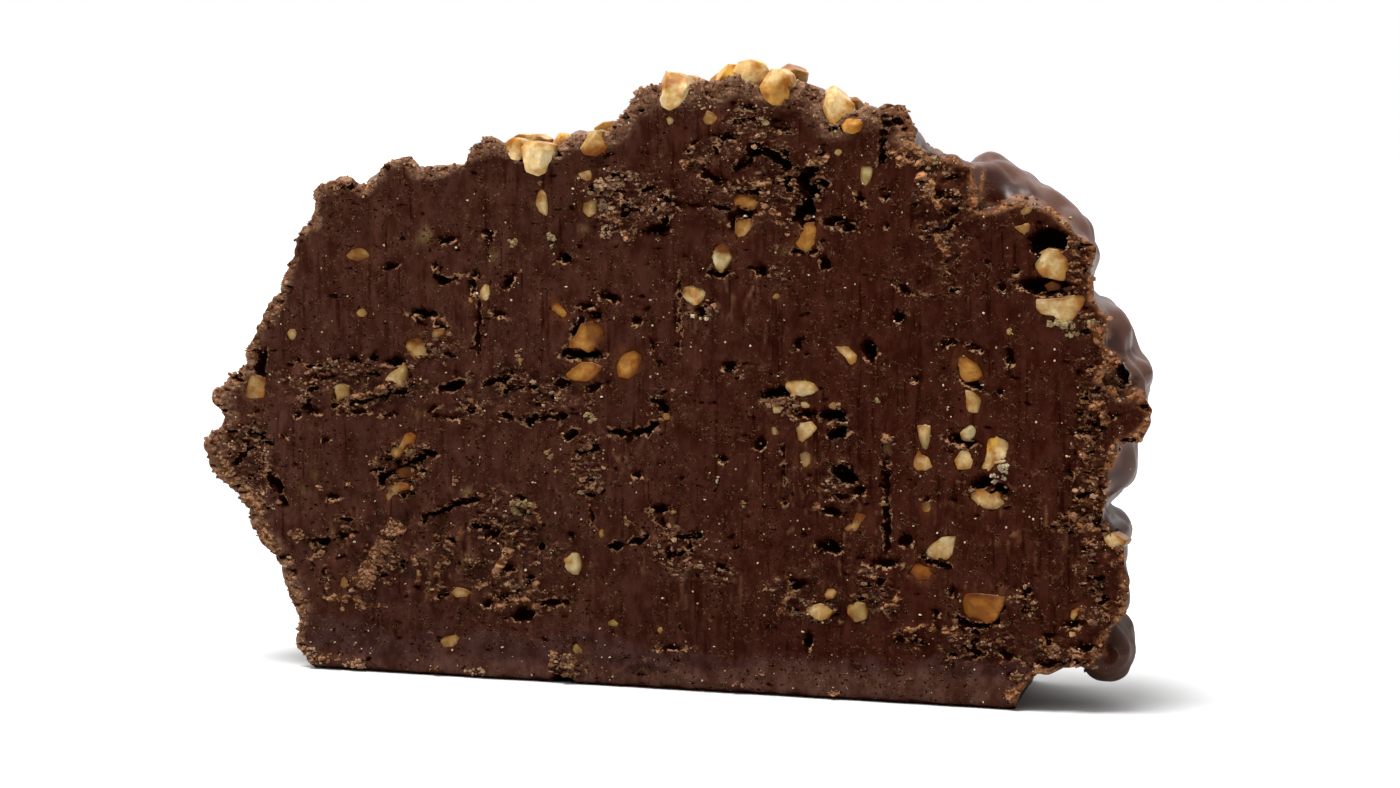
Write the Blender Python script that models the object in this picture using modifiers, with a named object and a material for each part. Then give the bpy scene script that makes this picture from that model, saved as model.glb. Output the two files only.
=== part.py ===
"""A thick slice of chocolate fudge with chopped roasted peanuts, standing on its flat base.

Its two broad faces are knife cuts with torn pits, crumbly stretches and nuts in them. Its top and
ends are the lumpy poured skin of the loaf, with more chopped nuts on top. Lengths in the lists
are millimetres, with x along the slice, y through it from the front cut, and z up.
"""

import math
import random

import bmesh
import bpy
from mathutils import Euler, Matrix, Vector, noise
from mathutils.bvhtree import BVHTree

MM = 0.001
THICKNESS = 24.0
FRONT = -THICKNESS / 2
BACK = THICKNESS / 2
BODY_VOXEL = 0.9
BODY_TRIANGLES = 5000
SEED = 7

# Front cut outline, x and z, clockwise from the left end of the base.
OUTLINE = (
    (-48.0, -0.6), (-50.3, 3.4), (-50.0, 8.0), (-52.8, 13.5), (-55.6, 17.2), (-58.6, 22.4),
    (-62.2, 24.8), (-63.7, 28.8), (-60.9, 31.6), (-61.8, 35.2), (-57.3, 39.4), (-56.7, 43.4),
    (-52.8, 47.9), (-50.6, 53.3), (-50.5, 55.9), (-47.2, 58.2), (-47.1, 62.0), (-43.0, 63.1),
    (-40.3, 62.2),
    (-37.6, 65.3), (-34.8, 66.2), (-32.6, 64.3), (-27.0, 65.2), (-22.6, 68.7), (-18.5, 67.0),
    (-13.5, 67.2), (-11.0, 69.0), (-6.0, 69.6), (-3.7, 72.9), (-0.6, 75.2), (5.0, 74.8),
    (10.7, 76.3), (14.5, 75.0), (20.6, 75.1), (23.4, 71.0), (27.4, 72.2), (31.4, 73.2),
    (34.0, 71.0), (33.4, 68.8), (38.2, 67.0), (42.1, 66.2), (42.1, 60.9), (44.8, 60.9),
    (47.6, 62.3), (51.4, 60.8), (54.6, 58.7), (57.4, 56.3), (56.6, 53.6), (57.0, 50.6),
    (59.2, 48.0), (58.4, 45.2), (60.0, 42.7), (58.0, 40.6), (60.6, 38.4), (62.9, 39.4),
    (64.2, 35.6), (62.9, 33.4), (60.6, 32.8), (58.8, 29.0), (58.7, 23.0), (61.4, 19.4),
    (61.6, 12.6), (59.2, 10.2), (57.2, 6.2), (50.2, 4.0), (48.2, 2.2), (47.4, -0.6),
)

# Round lobes of the skin behind the front cut: centre x, y, z and the three radii.
SKIN_LOBES = (
    (42.4, -2.5, 61.8, 5.6, 8.0, 6.7),
    (48.8, -2.5, 59.0, 5.4, 8.0, 6.3),
    (53.5, -3.0, 57.0, 3.8, 7.0, 5.0),
    (56.9, -2.5, 45.0, 5.6, 8.0, 6.0),
    (60.4, -2.5, 40.5, 4.5, 8.0, 3.5),
    (58.3, -2.5, 31.5, 4.9, 8.0, 6.5),
    (58.8, -2.5, 21.2, 3.8, 8.0, 3.2),
    (59.4, -2.5, 6.9, 3.7, 8.0, 4.1),
)

# The skin draws in towards the back cut: at the right end most, at the top a little, and lower
# again over the right shoulder.
RIGHT_END_TAPER = 7.2
RIGHT_END_STARTS = 32.0
TOP_TAPER = 2.4
SHOULDER_TAPER = 6.5
SHOULDER_X = 34.0
SHOULDER_REACH = 9.0

# The rim bulges a little, and the skin is lumpy, less so at the right end.
RIM_GROWTH = 0.9
RIGHT_END_CALM = 0.6
SKIN_LUMP = 1.7
SKIN_LUMP_SPAN = 6.5
RIM_CRAG = 1.0
RIM_CRAG_SPAN = 2.6
KNIFE_WAVE = 0.3
KNIFE_WAVE_SPAN = 5.0
CRUMBLE = 1.5
CRUMBLE_SPAN = 2.8

# The poured base layer below the cove stands a little proud of both cuts.
BASE_LAYER_TOP = 6.0
BASE_LAYER_FLARE = 0.5

# Crumbly stretches of the front cut: centre x, z and radii.
CRUMBLY = (
    (-4.0, 61.5, 8.5, 5.5), (13.5, 65.5, 11.0, 9.5), (38.0, 60.0, 5.0, 8.0),
    (-43.0, 37.5, 13.0, 4.6), (-18.0, 36.5, 12.0, 4.6), (-35.5, 26.5, 5.0, 5.0),
    (-58.0, 26.0, 5.0, 9.0), (-30.0, 15.5, 25.0, 7.5), (22.0, 12.5, 8.0, 4.0),
    (46.0, 7.0, 14.0, 3.0), (57.0, 27.0, 3.0, 22.0),
)

# Torn pits in the front cut: x, z, width, height, lean in degrees, depth.
PITS = (
    (51.6, 57.1, 4.6, 3.0, 8, 4.5), (51.4, 51.5, 6.2, 1.9, -6, 3.5), (14.8, 67.7, 5.0, 1.5, -12, 3.0),
    (20.9, 62.3, 3.0, 6.2, -12, 5.0), (-9.7, 42.0, 5.2, 1.5, 4, 3.5), (-32.2, 46.7, 4.4, 1.5, -8, 3.0),
    (25.2, 28.0, 3.4, 2.4, -20, 3.6), (23.8, 35.3, 3.0, 1.5, 14, 3.0), (24.3, 33.0, 2.8, 1.5, 10, 2.6),
    (16.4, 37.7, 3.8, 1.4, 6, 3.0), (31.0, 24.6, 1.3, 11.0, 0, 2.2), (-28.0, 37.6, 4.4, 1.5, 12, 3.0),
    (-34.4, 27.4, 6.6, 1.5, 28, 2.8), (-28.2, 21.8, 7.4, 1.3, 18, 2.6), (-12.7, 33.6, 3.4, 2.4, -16, 2.8),
    (-3.6, 32.3, 5.4, 1.2, 2, 2.4), (-3.8, 18.3, 5.4, 1.2, 16, 2.4), (23.3, 19.0, 3.0, 1.8, -10, 2.6),
    (28.8, 43.3, 1.8, 2.6, 0, 2.6), (-45.6, 17.4, 6.8, 1.2, 12, 2.2), (-55.8, 40.2, 1.8, 4.0, -10, 2.2),
    (-18.2, 8.4, 3.2, 1.8, 14, 2.2), (-12.8, 0.2, 2.8, 1.8, 0, 1.8), (61.4, 40.6, 2.0, 3.4, 10, 4.2),
)

# Nuts in the front cut: x, z, width, height.
CUT_NUTS = (
    (-57.0, 36.6, 3.4, 3.6), (-44.2, 36.0, 2.8, 3.0), (-35.8, 38.8, 3.2, 3.2), (-41.2, 54.1, 3.8, 2.2),
    (-32.0, 56.5, 3.3, 2.5), (-30.5, 44.2, 3.2, 2.2), (-35.0, 30.2, 4.2, 3.4), (-35.9, 24.0, 4.6, 3.0),
    (-23.3, 49.5, 2.2, 2.8), (-16.0, 61.1, 2.1, 3.8), (-9.2, 64.4, 3.0, 2.1), (-9.0, 60.8, 2.6, 2.6),
    (-13.2, 47.4, 2.5, 2.8), (-9.2, 44.3, 5.0, 3.6), (-9.5, 39.9, 5.0, 2.8), (-3.7, 40.9, 3.5, 3.9),
    (5.2, 49.7, 4.0, 3.2), (8.9, 54.4, 3.0, 4.1), (12.0, 61.5, 3.8, 2.3), (12.0, 58.3, 3.0, 3.0),
    (20.3, 57.5, 3.1, 3.8), (28.0, 64.9, 2.5, 3.1), (7.5, 71.7, 2.6, 2.8), (25.8, 43.0, 2.5, 2.7),
    (41.3, 41.8, 3.6, 4.0), (42.1, 37.7, 2.6, 3.2), (45.0, 31.5, 3.8, 4.4), (40.9, 30.3, 2.8, 2.9),
    (35.7, 31.4, 2.6, 4.4), (44.6, 26.0, 4.8, 2.8), (37.7, 19.0, 4.5, 3.5), (35.4, 16.3, 3.2, 2.3),
    (43.0, 12.3, 6.2, 3.8), (51.2, 54.3, 5.6, 3.8), (53.2, 48.9, 6.4, 3.8), (59.6, 21.0, 3.3, 2.2),
    (20.0, 38.3, 4.3, 3.2), (20.2, 33.2, 3.2, 3.2), (27.0, 22.5, 3.5, 2.5), (22.0, 10.7, 3.7, 2.3),
    (27.2, 11.1, 3.0, 2.8), (-11.3, 15.3, 2.9, 3.4), (-26.0, 15.0, 2.4, 2.6), (-28.5, 4.6, 3.3, 2.6),
    (23.3, 13.2, 2.2, 2.0), (54.8, 12.2, 2.2, 2.2),
)

# Nuts on the front of the top: x, y, z of the centre, width, height.
TOP_NUTS = (
    (-19.7, -10.0, 68.0, 3.0, 3.0), (-16.1, -10.6, 66.7, 4.8, 4.6), (-20.1, -6.0, 69.8, 4.8, 2.8),
    (-13.9, -9.0, 68.9, 3.0, 2.6), (-8.5, -10.0, 68.8, 4.8, 3.6), (-9.0, -5.0, 71.0, 3.8, 3.0),
    (1.8, -9.8, 75.2, 4.4, 4.9), (3.2, -6.6, 76.2, 3.4, 2.8), (8.1, -8.0, 77.2, 4.2, 3.2),
    (12.1, -9.0, 77.3, 4.8, 4.0), (15.8, -10.4, 75.6, 4.4, 4.6), (15.0, -6.6, 77.6, 4.8, 3.8),
    (23.8, -10.0, 73.5, 4.3, 5.0), (25.5, -8.0, 73.0, 3.0, 3.2), (26.1, -11.2, 70.8, 3.0, 2.6),
)

NUT_POINTS = 11
NUT_PROUD = 0.45
TOP_NUTS_BEHIND = 16
TOP_NUTS_REACH = (-27.0, 12.0)
TOP_NUT_SIZES = (3.2, 4.8)
TOP_NUT_RISE = 0.22

# The back cut is hidden in the photograph, so its nuts and pits follow the front's sizes.
BACK_NUTS = 26
BACK_NUT_SIZES = (2.6, 4.8)
BACK_NUT_MARGIN = 4.0
BACK_NUT_SPACING = 6.5
BACK_PITS = 10
BACK_PIT_SIZES = (2.4, 5.2)
BACK_PIT_DEPTH = 2.6
BACK_PIT_MARGIN = 6.0
BACK_PIT_SPACING = 12.0
BACK_CUT_X = 60.0
BACK_CUT_Z = (4.0, 74.0)

ABOVE_ALL = 120.0
BELOW_BASE = (200.0, 60.0, 40.0)
GOLDEN_TURN = math.pi * (3.0 - math.sqrt(5.0))


def clear_scene():
    for old in list(bpy.data.objects):
        bpy.data.objects.remove(old, do_unlink=True)


def new_collection(name):
    made = bpy.data.collections.new(name)
    bpy.context.scene.collection.children.link(made)
    return made


def new_material(name, colour, roughness):
    material = bpy.data.materials.new(name)
    material.use_nodes = True
    shader = material.node_tree.nodes["Principled BSDF"]
    shader.inputs["Base Color"].default_value = (*colour, 1.0)
    shader.inputs["Roughness"].default_value = roughness
    shader.inputs["Metallic"].default_value = 0.0
    return material


def add_mesh_object(name, mesh, collection):
    made = bpy.data.objects.new(name, mesh)
    collection.objects.link(made)
    return made


def apply_modifiers(item):
    """Replaces the object's mesh by what its modifiers make of it."""
    graph = bpy.context.evaluated_depsgraph_get()
    made = bpy.data.meshes.new_from_object(item.evaluated_get(graph))
    item.modifiers.clear()
    item.data = made


def smooth_step(low, high, value):
    share = min(max((value - low) / (high - low), 0.0), 1.0)
    return share * share * (3.0 - 2.0 * share)


def inside_outline(x, z, margin):
    """Whether a point of the cut is inside the outline, at least a margin from it."""
    inside = False
    nearest = math.inf
    for start, end in zip(OUTLINE, OUTLINE[1:] + OUTLINE[:1]):
        run = Vector(end) - Vector(start)
        along = (Vector((x, z)) - Vector(start)).dot(run) / run.length_squared
        foot = Vector(start) + run * min(max(along, 0.0), 1.0)
        nearest = min(nearest, (Vector((x, z)) - foot).length)
        if (start[1] > z) != (end[1] > z) and x < start[0] + run.x * (z - start[1]) / run.y:
            inside = not inside
    return inside and nearest >= margin


def add_slab(bm):
    """The outline drawn as a filled flat curve, as deep as the slice."""
    curve = bpy.data.curves.new("outline", "CURVE")
    curve.dimensions = "2D"
    curve.fill_mode = "BOTH"
    curve.extrude = THICKNESS / 2
    spline = curve.splines.new("POLY")
    spline.points.add(len(OUTLINE) - 1)
    spline.use_cyclic_u = True
    for point, (x, z) in zip(spline.points, OUTLINE):
        point.co = (x, z, 0.0, 1.0)
    outline = bpy.data.objects.new("outline", curve)
    bpy.context.scene.collection.objects.link(outline)
    graph = bpy.context.evaluated_depsgraph_get()
    slab = bpy.data.meshes.new_from_object(outline.evaluated_get(graph))
    slab.transform(Matrix.Rotation(math.pi / 2, 4, "X"))
    bm.from_mesh(slab)
    bmesh.ops.remove_doubles(bm, verts=bm.verts, dist=0.0001)
    bpy.data.objects.remove(outline, do_unlink=True)


def add_lobes(bm):
    for x, y, z, wide, deep, high in SKIN_LOBES:
        place = Matrix.LocRotScale(Vector((x, y, z)), None, Vector((wide, deep, high)))
        bmesh.ops.create_icosphere(bm, subdivisions=3, radius=1.0, matrix=place)


def crumbly_share(x, z):
    """How crumbly the front cut is at a point, from 0 to 1."""
    share = 0.0
    for centre_x, centre_z, wide, high in CRUMBLY:
        reach = math.hypot((x - centre_x) / wide, (z - centre_z) / high)
        share = max(share, 1.0 - smooth_step(0.6, 1.15, reach))
    return share


def shaped(point, normal):
    """Where a point of the plain slab goes: drawn in behind, lumpy on the skin, rough on the cuts."""
    behind = (point.y - FRONT) / THICKNESS
    outward = Vector((normal.x, 0.0, normal.z))
    side = outward.length
    facing = math.copysign(1.0, normal.y)
    lifted = smooth_step(0.5, 4.0, point.z)
    draw_in = RIGHT_END_TAPER * behind * smooth_step(RIGHT_END_STARTS, 56.0, point.x)
    shoulder = 1.0 - smooth_step(0.0, SHOULDER_REACH, abs(point.x - SHOULDER_X))
    draw_down = (TOP_TAPER + SHOULDER_TAPER * shoulder) * behind * smooth_step(20.0, 75.0, point.z)

    right_end = smooth_step(28.0, 40.0, point.x)
    calm = 1.0 - RIGHT_END_CALM * right_end
    lump = SKIN_LUMP * calm * (abs(noise.noise(point / SKIN_LUMP_SPAN)) * 2.0 - 0.5)
    away_from_cut = smooth_step(0.0, 5.0, point.y - FRONT) * smooth_step(0.0, 4.0, BACK - point.y)
    crag = RIM_GROWTH * (1.0 - right_end) + RIM_CRAG * noise.noise(point / RIM_CRAG_SPAN)
    grown = lifted * (lump * away_from_cut + crag * (1.0 - away_from_cut))

    along_knife = Vector((point.x, facing * THICKNESS, point.z / 4.0)) / KNIFE_WAVE_SPAN
    wave = KNIFE_WAVE * noise.noise(along_knife)
    loose = crumbly_share(point.x, point.z) if facing < 0.0 else crumbly_share(-point.x, point.z)
    rough = CRUMBLE * loose * (noise.noise(point / CRUMBLE_SPAN) - 0.1)
    flare = BASE_LAYER_FLARE * (1.0 - smooth_step(0.0, BASE_LAYER_TOP, point.z))
    proud = abs(normal.y) * (wave + rough + flare)
    return point + outward * grown + Vector((-draw_in, facing * proud, -draw_down))


def make_body(collection):
    """The fudge without its nuts, as one closed mesh of few triangles."""
    bm = bmesh.new()
    add_slab(bm)
    add_lobes(bm)
    mesh = bpy.data.meshes.new("fudge")
    bm.to_mesh(mesh)
    bm.free()
    body = add_mesh_object("fudge", mesh, collection)
    remesh = body.modifiers.new("even skin", "REMESH")
    remesh.mode = "VOXEL"
    remesh.voxel_size = BODY_VOXEL
    apply_modifiers(body)
    places = [shaped(vertex.co.copy(), vertex.normal.copy()) for vertex in body.data.vertices]
    for vertex, place in zip(body.data.vertices, places):
        vertex.co = place
    decimate = body.modifiers.new("few triangles", "DECIMATE")
    decimate.ratio = BODY_TRIANGLES / (2 * len(body.data.polygons))
    decimate.use_collapse_triangulate = True
    apply_modifiers(body)
    return body


def surface_tree(body):
    bm = bmesh.new()
    bm.from_mesh(body.data)
    tree = BVHTree.FromBMesh(bm)
    bm.free()
    return tree


def hull_mesh(name, points):
    bm = bmesh.new()
    for point in points:
        bm.verts.new(point)
    made = bmesh.ops.convex_hull(bm, input=bm.verts)
    spare = {item for item in made["geom_interior"] if isinstance(item, bmesh.types.BMVert)}
    bmesh.ops.delete(bm, geom=list(spare), context="VERTS")
    bmesh.ops.recalc_face_normals(bm, faces=bm.faces)
    mesh = bpy.data.meshes.new(name)
    bm.to_mesh(mesh)
    bm.free()
    return mesh


def chopped_points(rng, wide, deep, high):
    """Corners of a chopped nut: spread over a blocky egg, shaken, then brought to the given size."""
    points = []
    for index in range(NUT_POINTS):
        level = 1.0 - 2.0 * (index + 0.5) / NUT_POINTS
        turn = index * GOLDEN_TURN + rng.uniform(-0.35, 0.35)
        ring = math.sqrt(1.0 - level * level)
        spot = Vector((ring * math.cos(turn), ring * math.sin(turn), level))
        spot = Vector([math.copysign(abs(part) ** 0.75, part) for part in spot])
        points.append(spot * rng.uniform(0.82, 1.1))
    reach = [max(abs(point[axis]) for point in points) for axis in range(3)]
    size = Vector((wide / reach[0], deep / reach[1], high / reach[2])) / 2
    return [point * size for point in points]


def clipped(points, level):
    """The convex piece with what lies in front of a level in y cut off flat."""
    kept = [point for point in points if point.y >= level]
    for point in points:
        for other in points:
            if point.y < level < other.y:
                kept.append(point.lerp(other, (level - point.y) / (other.y - point.y)))
    return kept


def cut_nut(rng, tree, x, z, wide, high, facing):
    """A nut that the knife went through, its cut just proud of the face; facing is -1 or 1."""
    start = Vector((x, facing * THICKNESS, z))
    hit = tree.ray_cast(start, Vector((0.0, -facing, 0.0)))[0]
    deep = 0.8 * (wide + high)
    flat = clipped(chopped_points(rng, wide, deep, high), -0.2 * deep)
    front_of_piece = min(point.y for point in flat)
    level = abs(hit.y) + NUT_PROUD
    return [Vector((x + p.x, facing * (level - (p.y - front_of_piece)), z + p.z)) for p in flat]


def whole_nut(rng, x, y, z, wide, high):
    turn = Euler([rng.uniform(-0.5, 0.5) for _ in range(3)]).to_matrix()
    deep = rng.uniform(3.2, 4.6)
    return [turn @ point + Vector((x, y, z)) for point in chopped_points(rng, wide, deep, high)]


def nuts_behind_the_top(rng, tree):
    """Nuts scattered over the hidden back of the top, each sunk a little into what is under it."""
    made = []
    for index in range(TOP_NUTS_BEHIND):
        share = (index + rng.uniform(0.1, 0.9)) / TOP_NUTS_BEHIND
        x = TOP_NUTS_REACH[0] + share * (TOP_NUTS_REACH[1] - TOP_NUTS_REACH[0])
        y = rng.uniform(-3.0, BACK - 2.5)
        size = rng.uniform(*TOP_NUT_SIZES)
        hit = tree.ray_cast(Vector((x, y, ABOVE_ALL)), Vector((0.0, 0.0, -1.0)))[0]
        made.append(whole_nut(rng, x, y, hit.z + TOP_NUT_RISE * size, size, 0.8 * size))
    return made


def scattered_in_cut(rng, count, margin, spacing):
    """Evenly spread random places in the cut, as x and z."""
    places = []
    while len(places) < count:
        x = rng.uniform(-BACK_CUT_X, BACK_CUT_X)
        z = rng.uniform(*BACK_CUT_Z)
        if not inside_outline(x, z, margin):
            continue
        if all(math.hypot(x - other_x, z - other_z) > spacing for other_x, other_z in places):
            places.append((x, z))
    return places


def pit_mesh(rng, x, z, wide, high, lean, depth, facing):
    """A pointed hole, widest at the face, whose wall is rough."""
    bm = bmesh.new()
    bmesh.ops.create_icosphere(bm, subdivisions=1, radius=1.0)
    for vertex in bm.verts:
        vertex.co *= rng.uniform(0.8, 1.12)
    place = Vector((x, facing * BACK, z))
    turn = Euler((0.0, -math.radians(lean), 0.0))
    bm.transform(Matrix.LocRotScale(place, turn, Vector((wide / 2, depth, high / 2))))
    mesh = bpy.data.meshes.new("pit")
    bm.to_mesh(mesh)
    bm.free()
    return mesh


def block_below_base():
    """What cuts the base off flat."""
    wide, deep, high = BELOW_BASE
    place = Matrix.LocRotScale(Vector((0.0, 0.0, -high / 2)), None, Vector((wide, deep, high)))
    bm = bmesh.new()
    bmesh.ops.create_cube(bm, size=1.0, matrix=place)
    mesh = bpy.data.meshes.new("below the base")
    bm.to_mesh(mesh)
    bm.free()
    return mesh


def fuse(body, operation, pieces):
    """Joins a whole collection to the body, or cuts it out, and clears the collection away."""
    boolean = body.modifiers.new("fuse", "BOOLEAN")
    boolean.operation = operation
    boolean.operand_type = "COLLECTION"
    boolean.collection = pieces
    boolean.solver = "MANIFOLD"
    apply_modifiers(body)
    for piece in list(pieces.objects):
        bpy.data.objects.remove(piece, do_unlink=True)
    bpy.data.collections.remove(pieces)


def cut_pits(body, rng):
    pits = new_collection("pits")
    for x, z, wide, high, lean, depth in PITS:
        add_mesh_object("pit", pit_mesh(rng, x, z, wide, high, lean, depth, -1), pits)
    for x, z in scattered_in_cut(rng, BACK_PITS, BACK_PIT_MARGIN, BACK_PIT_SPACING):
        wide = rng.uniform(*BACK_PIT_SIZES)
        lean = rng.uniform(-25.0, 25.0)
        pit = pit_mesh(rng, x, z, wide, 0.45 * wide, lean, BACK_PIT_DEPTH, 1)
        add_mesh_object("pit", pit, pits)
    add_mesh_object("below the base", block_below_base(), pits)
    fuse(body, "DIFFERENCE", pits)


def add_nuts(body, rng, nut_material):
    tree = surface_tree(body)
    shapes = [cut_nut(rng, tree, *nut, -1) for nut in CUT_NUTS]
    shapes += [whole_nut(rng, *nut) for nut in TOP_NUTS]
    shapes += nuts_behind_the_top(rng, tree)
    for x, z in scattered_in_cut(rng, BACK_NUTS, BACK_NUT_MARGIN, BACK_NUT_SPACING):
        wide = rng.uniform(*BACK_NUT_SIZES)
        shapes.append(cut_nut(rng, tree, x, z, wide, wide * rng.uniform(0.65, 1.1), 1))
    nuts = new_collection("nuts")
    for shape in shapes:
        nut = add_mesh_object("nut", hull_mesh("nut", shape), nuts)
        nut.data.materials.append(nut_material)
    fuse(body, "UNION", nuts)


def keep_one_solid(body):
    """Drops loose scraps and fills sealed hollows, which are the smaller islands of the mesh."""
    bm = bmesh.new()
    bm.from_mesh(body.data)
    islands = []
    unseen = set(bm.verts)
    while unseen:
        island = {unseen.pop()}
        edge_of_search = list(island)
        while edge_of_search:
            vertex = edge_of_search.pop()
            for edge in vertex.link_edges:
                other = edge.other_vert(vertex)
                if other in unseen:
                    unseen.remove(other)
                    island.add(other)
                    edge_of_search.append(other)
        islands.append(island)
    islands.sort(key=len)
    for island in islands[:-1]:
        bmesh.ops.delete(bm, geom=list(island), context="VERTS")
    bm.to_mesh(body.data)
    bm.free()


def stand_at_origin(body):
    """Scales the millimetres to metres, with the box's bottom centre at the origin."""
    corners = [Vector(corner) for corner in body.bound_box]
    low = Vector([min(corner[axis] for corner in corners) for axis in range(3)])
    high = Vector([max(corner[axis] for corner in corners) for axis in range(3)])
    middle = (low + high) / 2
    body.data.transform(Matrix.Translation((-middle.x, -middle.y, -low.z)))
    body.data.transform(Matrix.Scale(MM, 4))
    body.data.update()


def main():
    clear_scene()
    rng = random.Random(SEED)
    collection = new_collection("peanut butter fudge")
    body = make_body(collection)
    body.data.materials.append(new_material("fudge", (0.055, 0.018, 0.012), 0.5))
    nut_material = new_material("nuts", (0.62, 0.34, 0.12), 0.45)
    cut_pits(body, rng)
    add_nuts(body, rng, nut_material)
    keep_one_solid(body)
    stand_at_origin(body)
    body.data.shade_smooth()
    body.data.set_sharp_from_angle(angle=math.radians(35.0))


main()
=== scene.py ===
"""Looks of the chocolate fudge slice with chopped peanuts.

The lists are in millimetres in the slice's own frame: x along the slice, y through it from the front
cut, z up. Outlines and lines are as seen on the front cut, and are written x, z, x, z and so on.
"""

import math
import random

import bmesh
import bpy
import numpy as np
from mathutils import Euler, Matrix, Vector, noise
from mathutils.bvhtree import BVHTree

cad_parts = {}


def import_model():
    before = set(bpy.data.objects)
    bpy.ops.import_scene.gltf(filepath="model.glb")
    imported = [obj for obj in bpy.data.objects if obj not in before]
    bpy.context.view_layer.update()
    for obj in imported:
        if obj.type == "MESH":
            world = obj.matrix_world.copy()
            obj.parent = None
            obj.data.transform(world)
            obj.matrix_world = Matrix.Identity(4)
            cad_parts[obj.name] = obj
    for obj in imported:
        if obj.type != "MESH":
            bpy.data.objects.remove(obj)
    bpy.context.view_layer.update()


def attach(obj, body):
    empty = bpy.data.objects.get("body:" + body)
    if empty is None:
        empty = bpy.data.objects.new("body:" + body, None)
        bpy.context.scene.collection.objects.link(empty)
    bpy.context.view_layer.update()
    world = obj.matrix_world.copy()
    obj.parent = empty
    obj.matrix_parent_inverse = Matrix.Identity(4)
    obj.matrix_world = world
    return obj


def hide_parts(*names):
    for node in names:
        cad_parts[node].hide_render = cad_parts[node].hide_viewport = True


MM = 0.001

# Metres in the shared frame.
FLOOR_HALF = 4.0
FLOOR_LEVEL = -0.00005
LOOKED_AT = (0.00636, -0.01204, 0.0373858)
CAMERA_AWAY = 0.5

# Millimetres; the shift takes the slice's own frame to the shared one.
CENTRE_SHIFT = (0.2216, -0.1576, 0.0)
THICKNESS = 24.0
FRONT = -THICKNESS / 2
BACK = THICKNESS / 2

# The body's mesh; the weights keep more of it in the front cut.
BODY_VOXEL = 0.32
BODY_TRIANGLES = 192000
FRONT_WEIGHT = 0.3
FRONT_FACTOR = 0.01

# How the sides and cuts differ from a plain slab's.
RIGHT_END = (32.0, 56.0)
RIGHT_END_TAPER = 7.2
TOP_TAPER = 2.4
SHOULDER_TAPER = 6.5
SHOULDER_X = 34.0
SHOULDER_REACH = 9.0
RIM_GROWTH = 0.9
RIGHT_END_CALM = 0.6
SKIN_LUMP = 1.7
SKIN_LUMP_SPAN = 6.5
RIM_CRAG = 1.0
RIM_CRAG_SPAN = 2.6
KNIFE_WAVE = 0.3
KNIFE_WAVE_SPAN = 5.0
CRUMBLE = 1.5
CRUMBLE_SPAN = 2.8
BASE_LAYER_TOP = 6.0
BASE_LAYER_FLARE = 0.5
NO_FLAKE = -1.5
LOBES_BEGIN = 36.0
LOBE_SMOOTHING = 90

# Nuts; those on the top are moved sideways by a share of how far they are behind the cut, and a nut
# is light where the blue of its tone is more than a limit.
NUT_DEPTH = 2.6
NUT_BEVEL = 0.12
NUT_LONGEST_EDGE = 0.55
NUT_SHARP_ANGLE = 26.0
TOP_NUT_SHIFT = 0.42
# The top nuts' colours are multiplied by this, a painted light from above.
TOP_NUT_PAINTED_LIGHT = 1.38
LIGHT_NUT_BLUE = 0.04

# Where the rays start that find the surface.
RAYS_FROM_ABOVE = 120.0
RAYS_FROM_AHEAD = -40.0

# How many small things are strewn.
MORE_BACK_NUTS = 46
MORE_BACK_PITS = 60
LOOSE_CRUMBS = 3200
BACK_CRUMBS = 700
WHITE_SPECKS = 900

# Colours of the fudge on the cuts and the sides.
SMOOTH_LEFT = (0.0425, 0.0137, 0.0087)
SMOOTH_RIGHT = (0.0335, 0.0080, 0.0045)
BASE_LAYER = (0.0470, 0.0196, 0.0156)
CRUMB_MID = (0.080, 0.030, 0.016)
RIM_LEFT = (0.270, 0.145, 0.084)
RIM_ORANGE = (0.265, 0.116, 0.052)
LIP = (0.160, 0.072, 0.038)
LIP_RIGHT = (0.180, 0.074, 0.034)
SMEARED = (0.130, 0.078, 0.032)
FAT_RING = (0.070, 0.021, 0.008)
SKIN = (0.092, 0.0365, 0.0215)

# What a colour is multiplied by.
LEFT_END_PALER = (1.22, 1.34, 1.42)
BASE_BAND = (0.80, 0.76, 0.80)
BASE_STRIP = (1.42, 1.45, 1.25)
TOASTED = (0.76, 0.52, 0.26)
BLANCHED = (1.12, 1.20, 1.40)
BROWN_EDGE = (0.56, 0.38, 0.22)
SCORED = (0.52, 0.36, 0.30)
CRUMB_SHADOW = (0.50, 0.30, 0.24)
PIT_SHADOW = (0.50, 0.32, 0.25)
WARMER = (1.06, 0.96, 0.84)
PALER = (1.30, 1.34, 1.36)
CLOUDS = ((0.66, 0.54, 0.48), (1.28, 1.42, 1.50))
NUT_HALVES = ((0.86, 0.72, 0.52), (1.16, 1.18, 1.26))

# Colours of the fudge's material.
# The tans are the torn fudge's colour, and also the painted light on the lit sides of crumbs and on the lips
# below the pits.
TORN_AND_LIT_TANS = ((0.125, 0.047, 0.020), (0.440, 0.232, 0.118))
FLAKE_BROWNS = ((0.100, 0.034, 0.014), (0.430, 0.215, 0.105))
SPECKS = ((0.20, 0.10, 0.058), (0.60, 0.45, 0.32))
DEEP_SHADOW = (0.011, 0.0019, 0.0010)
# Painted shade: near black in the pores and inside the pits.
HOLLOW_SHADE = (0.0075, 0.0011, 0.0007)

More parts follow.
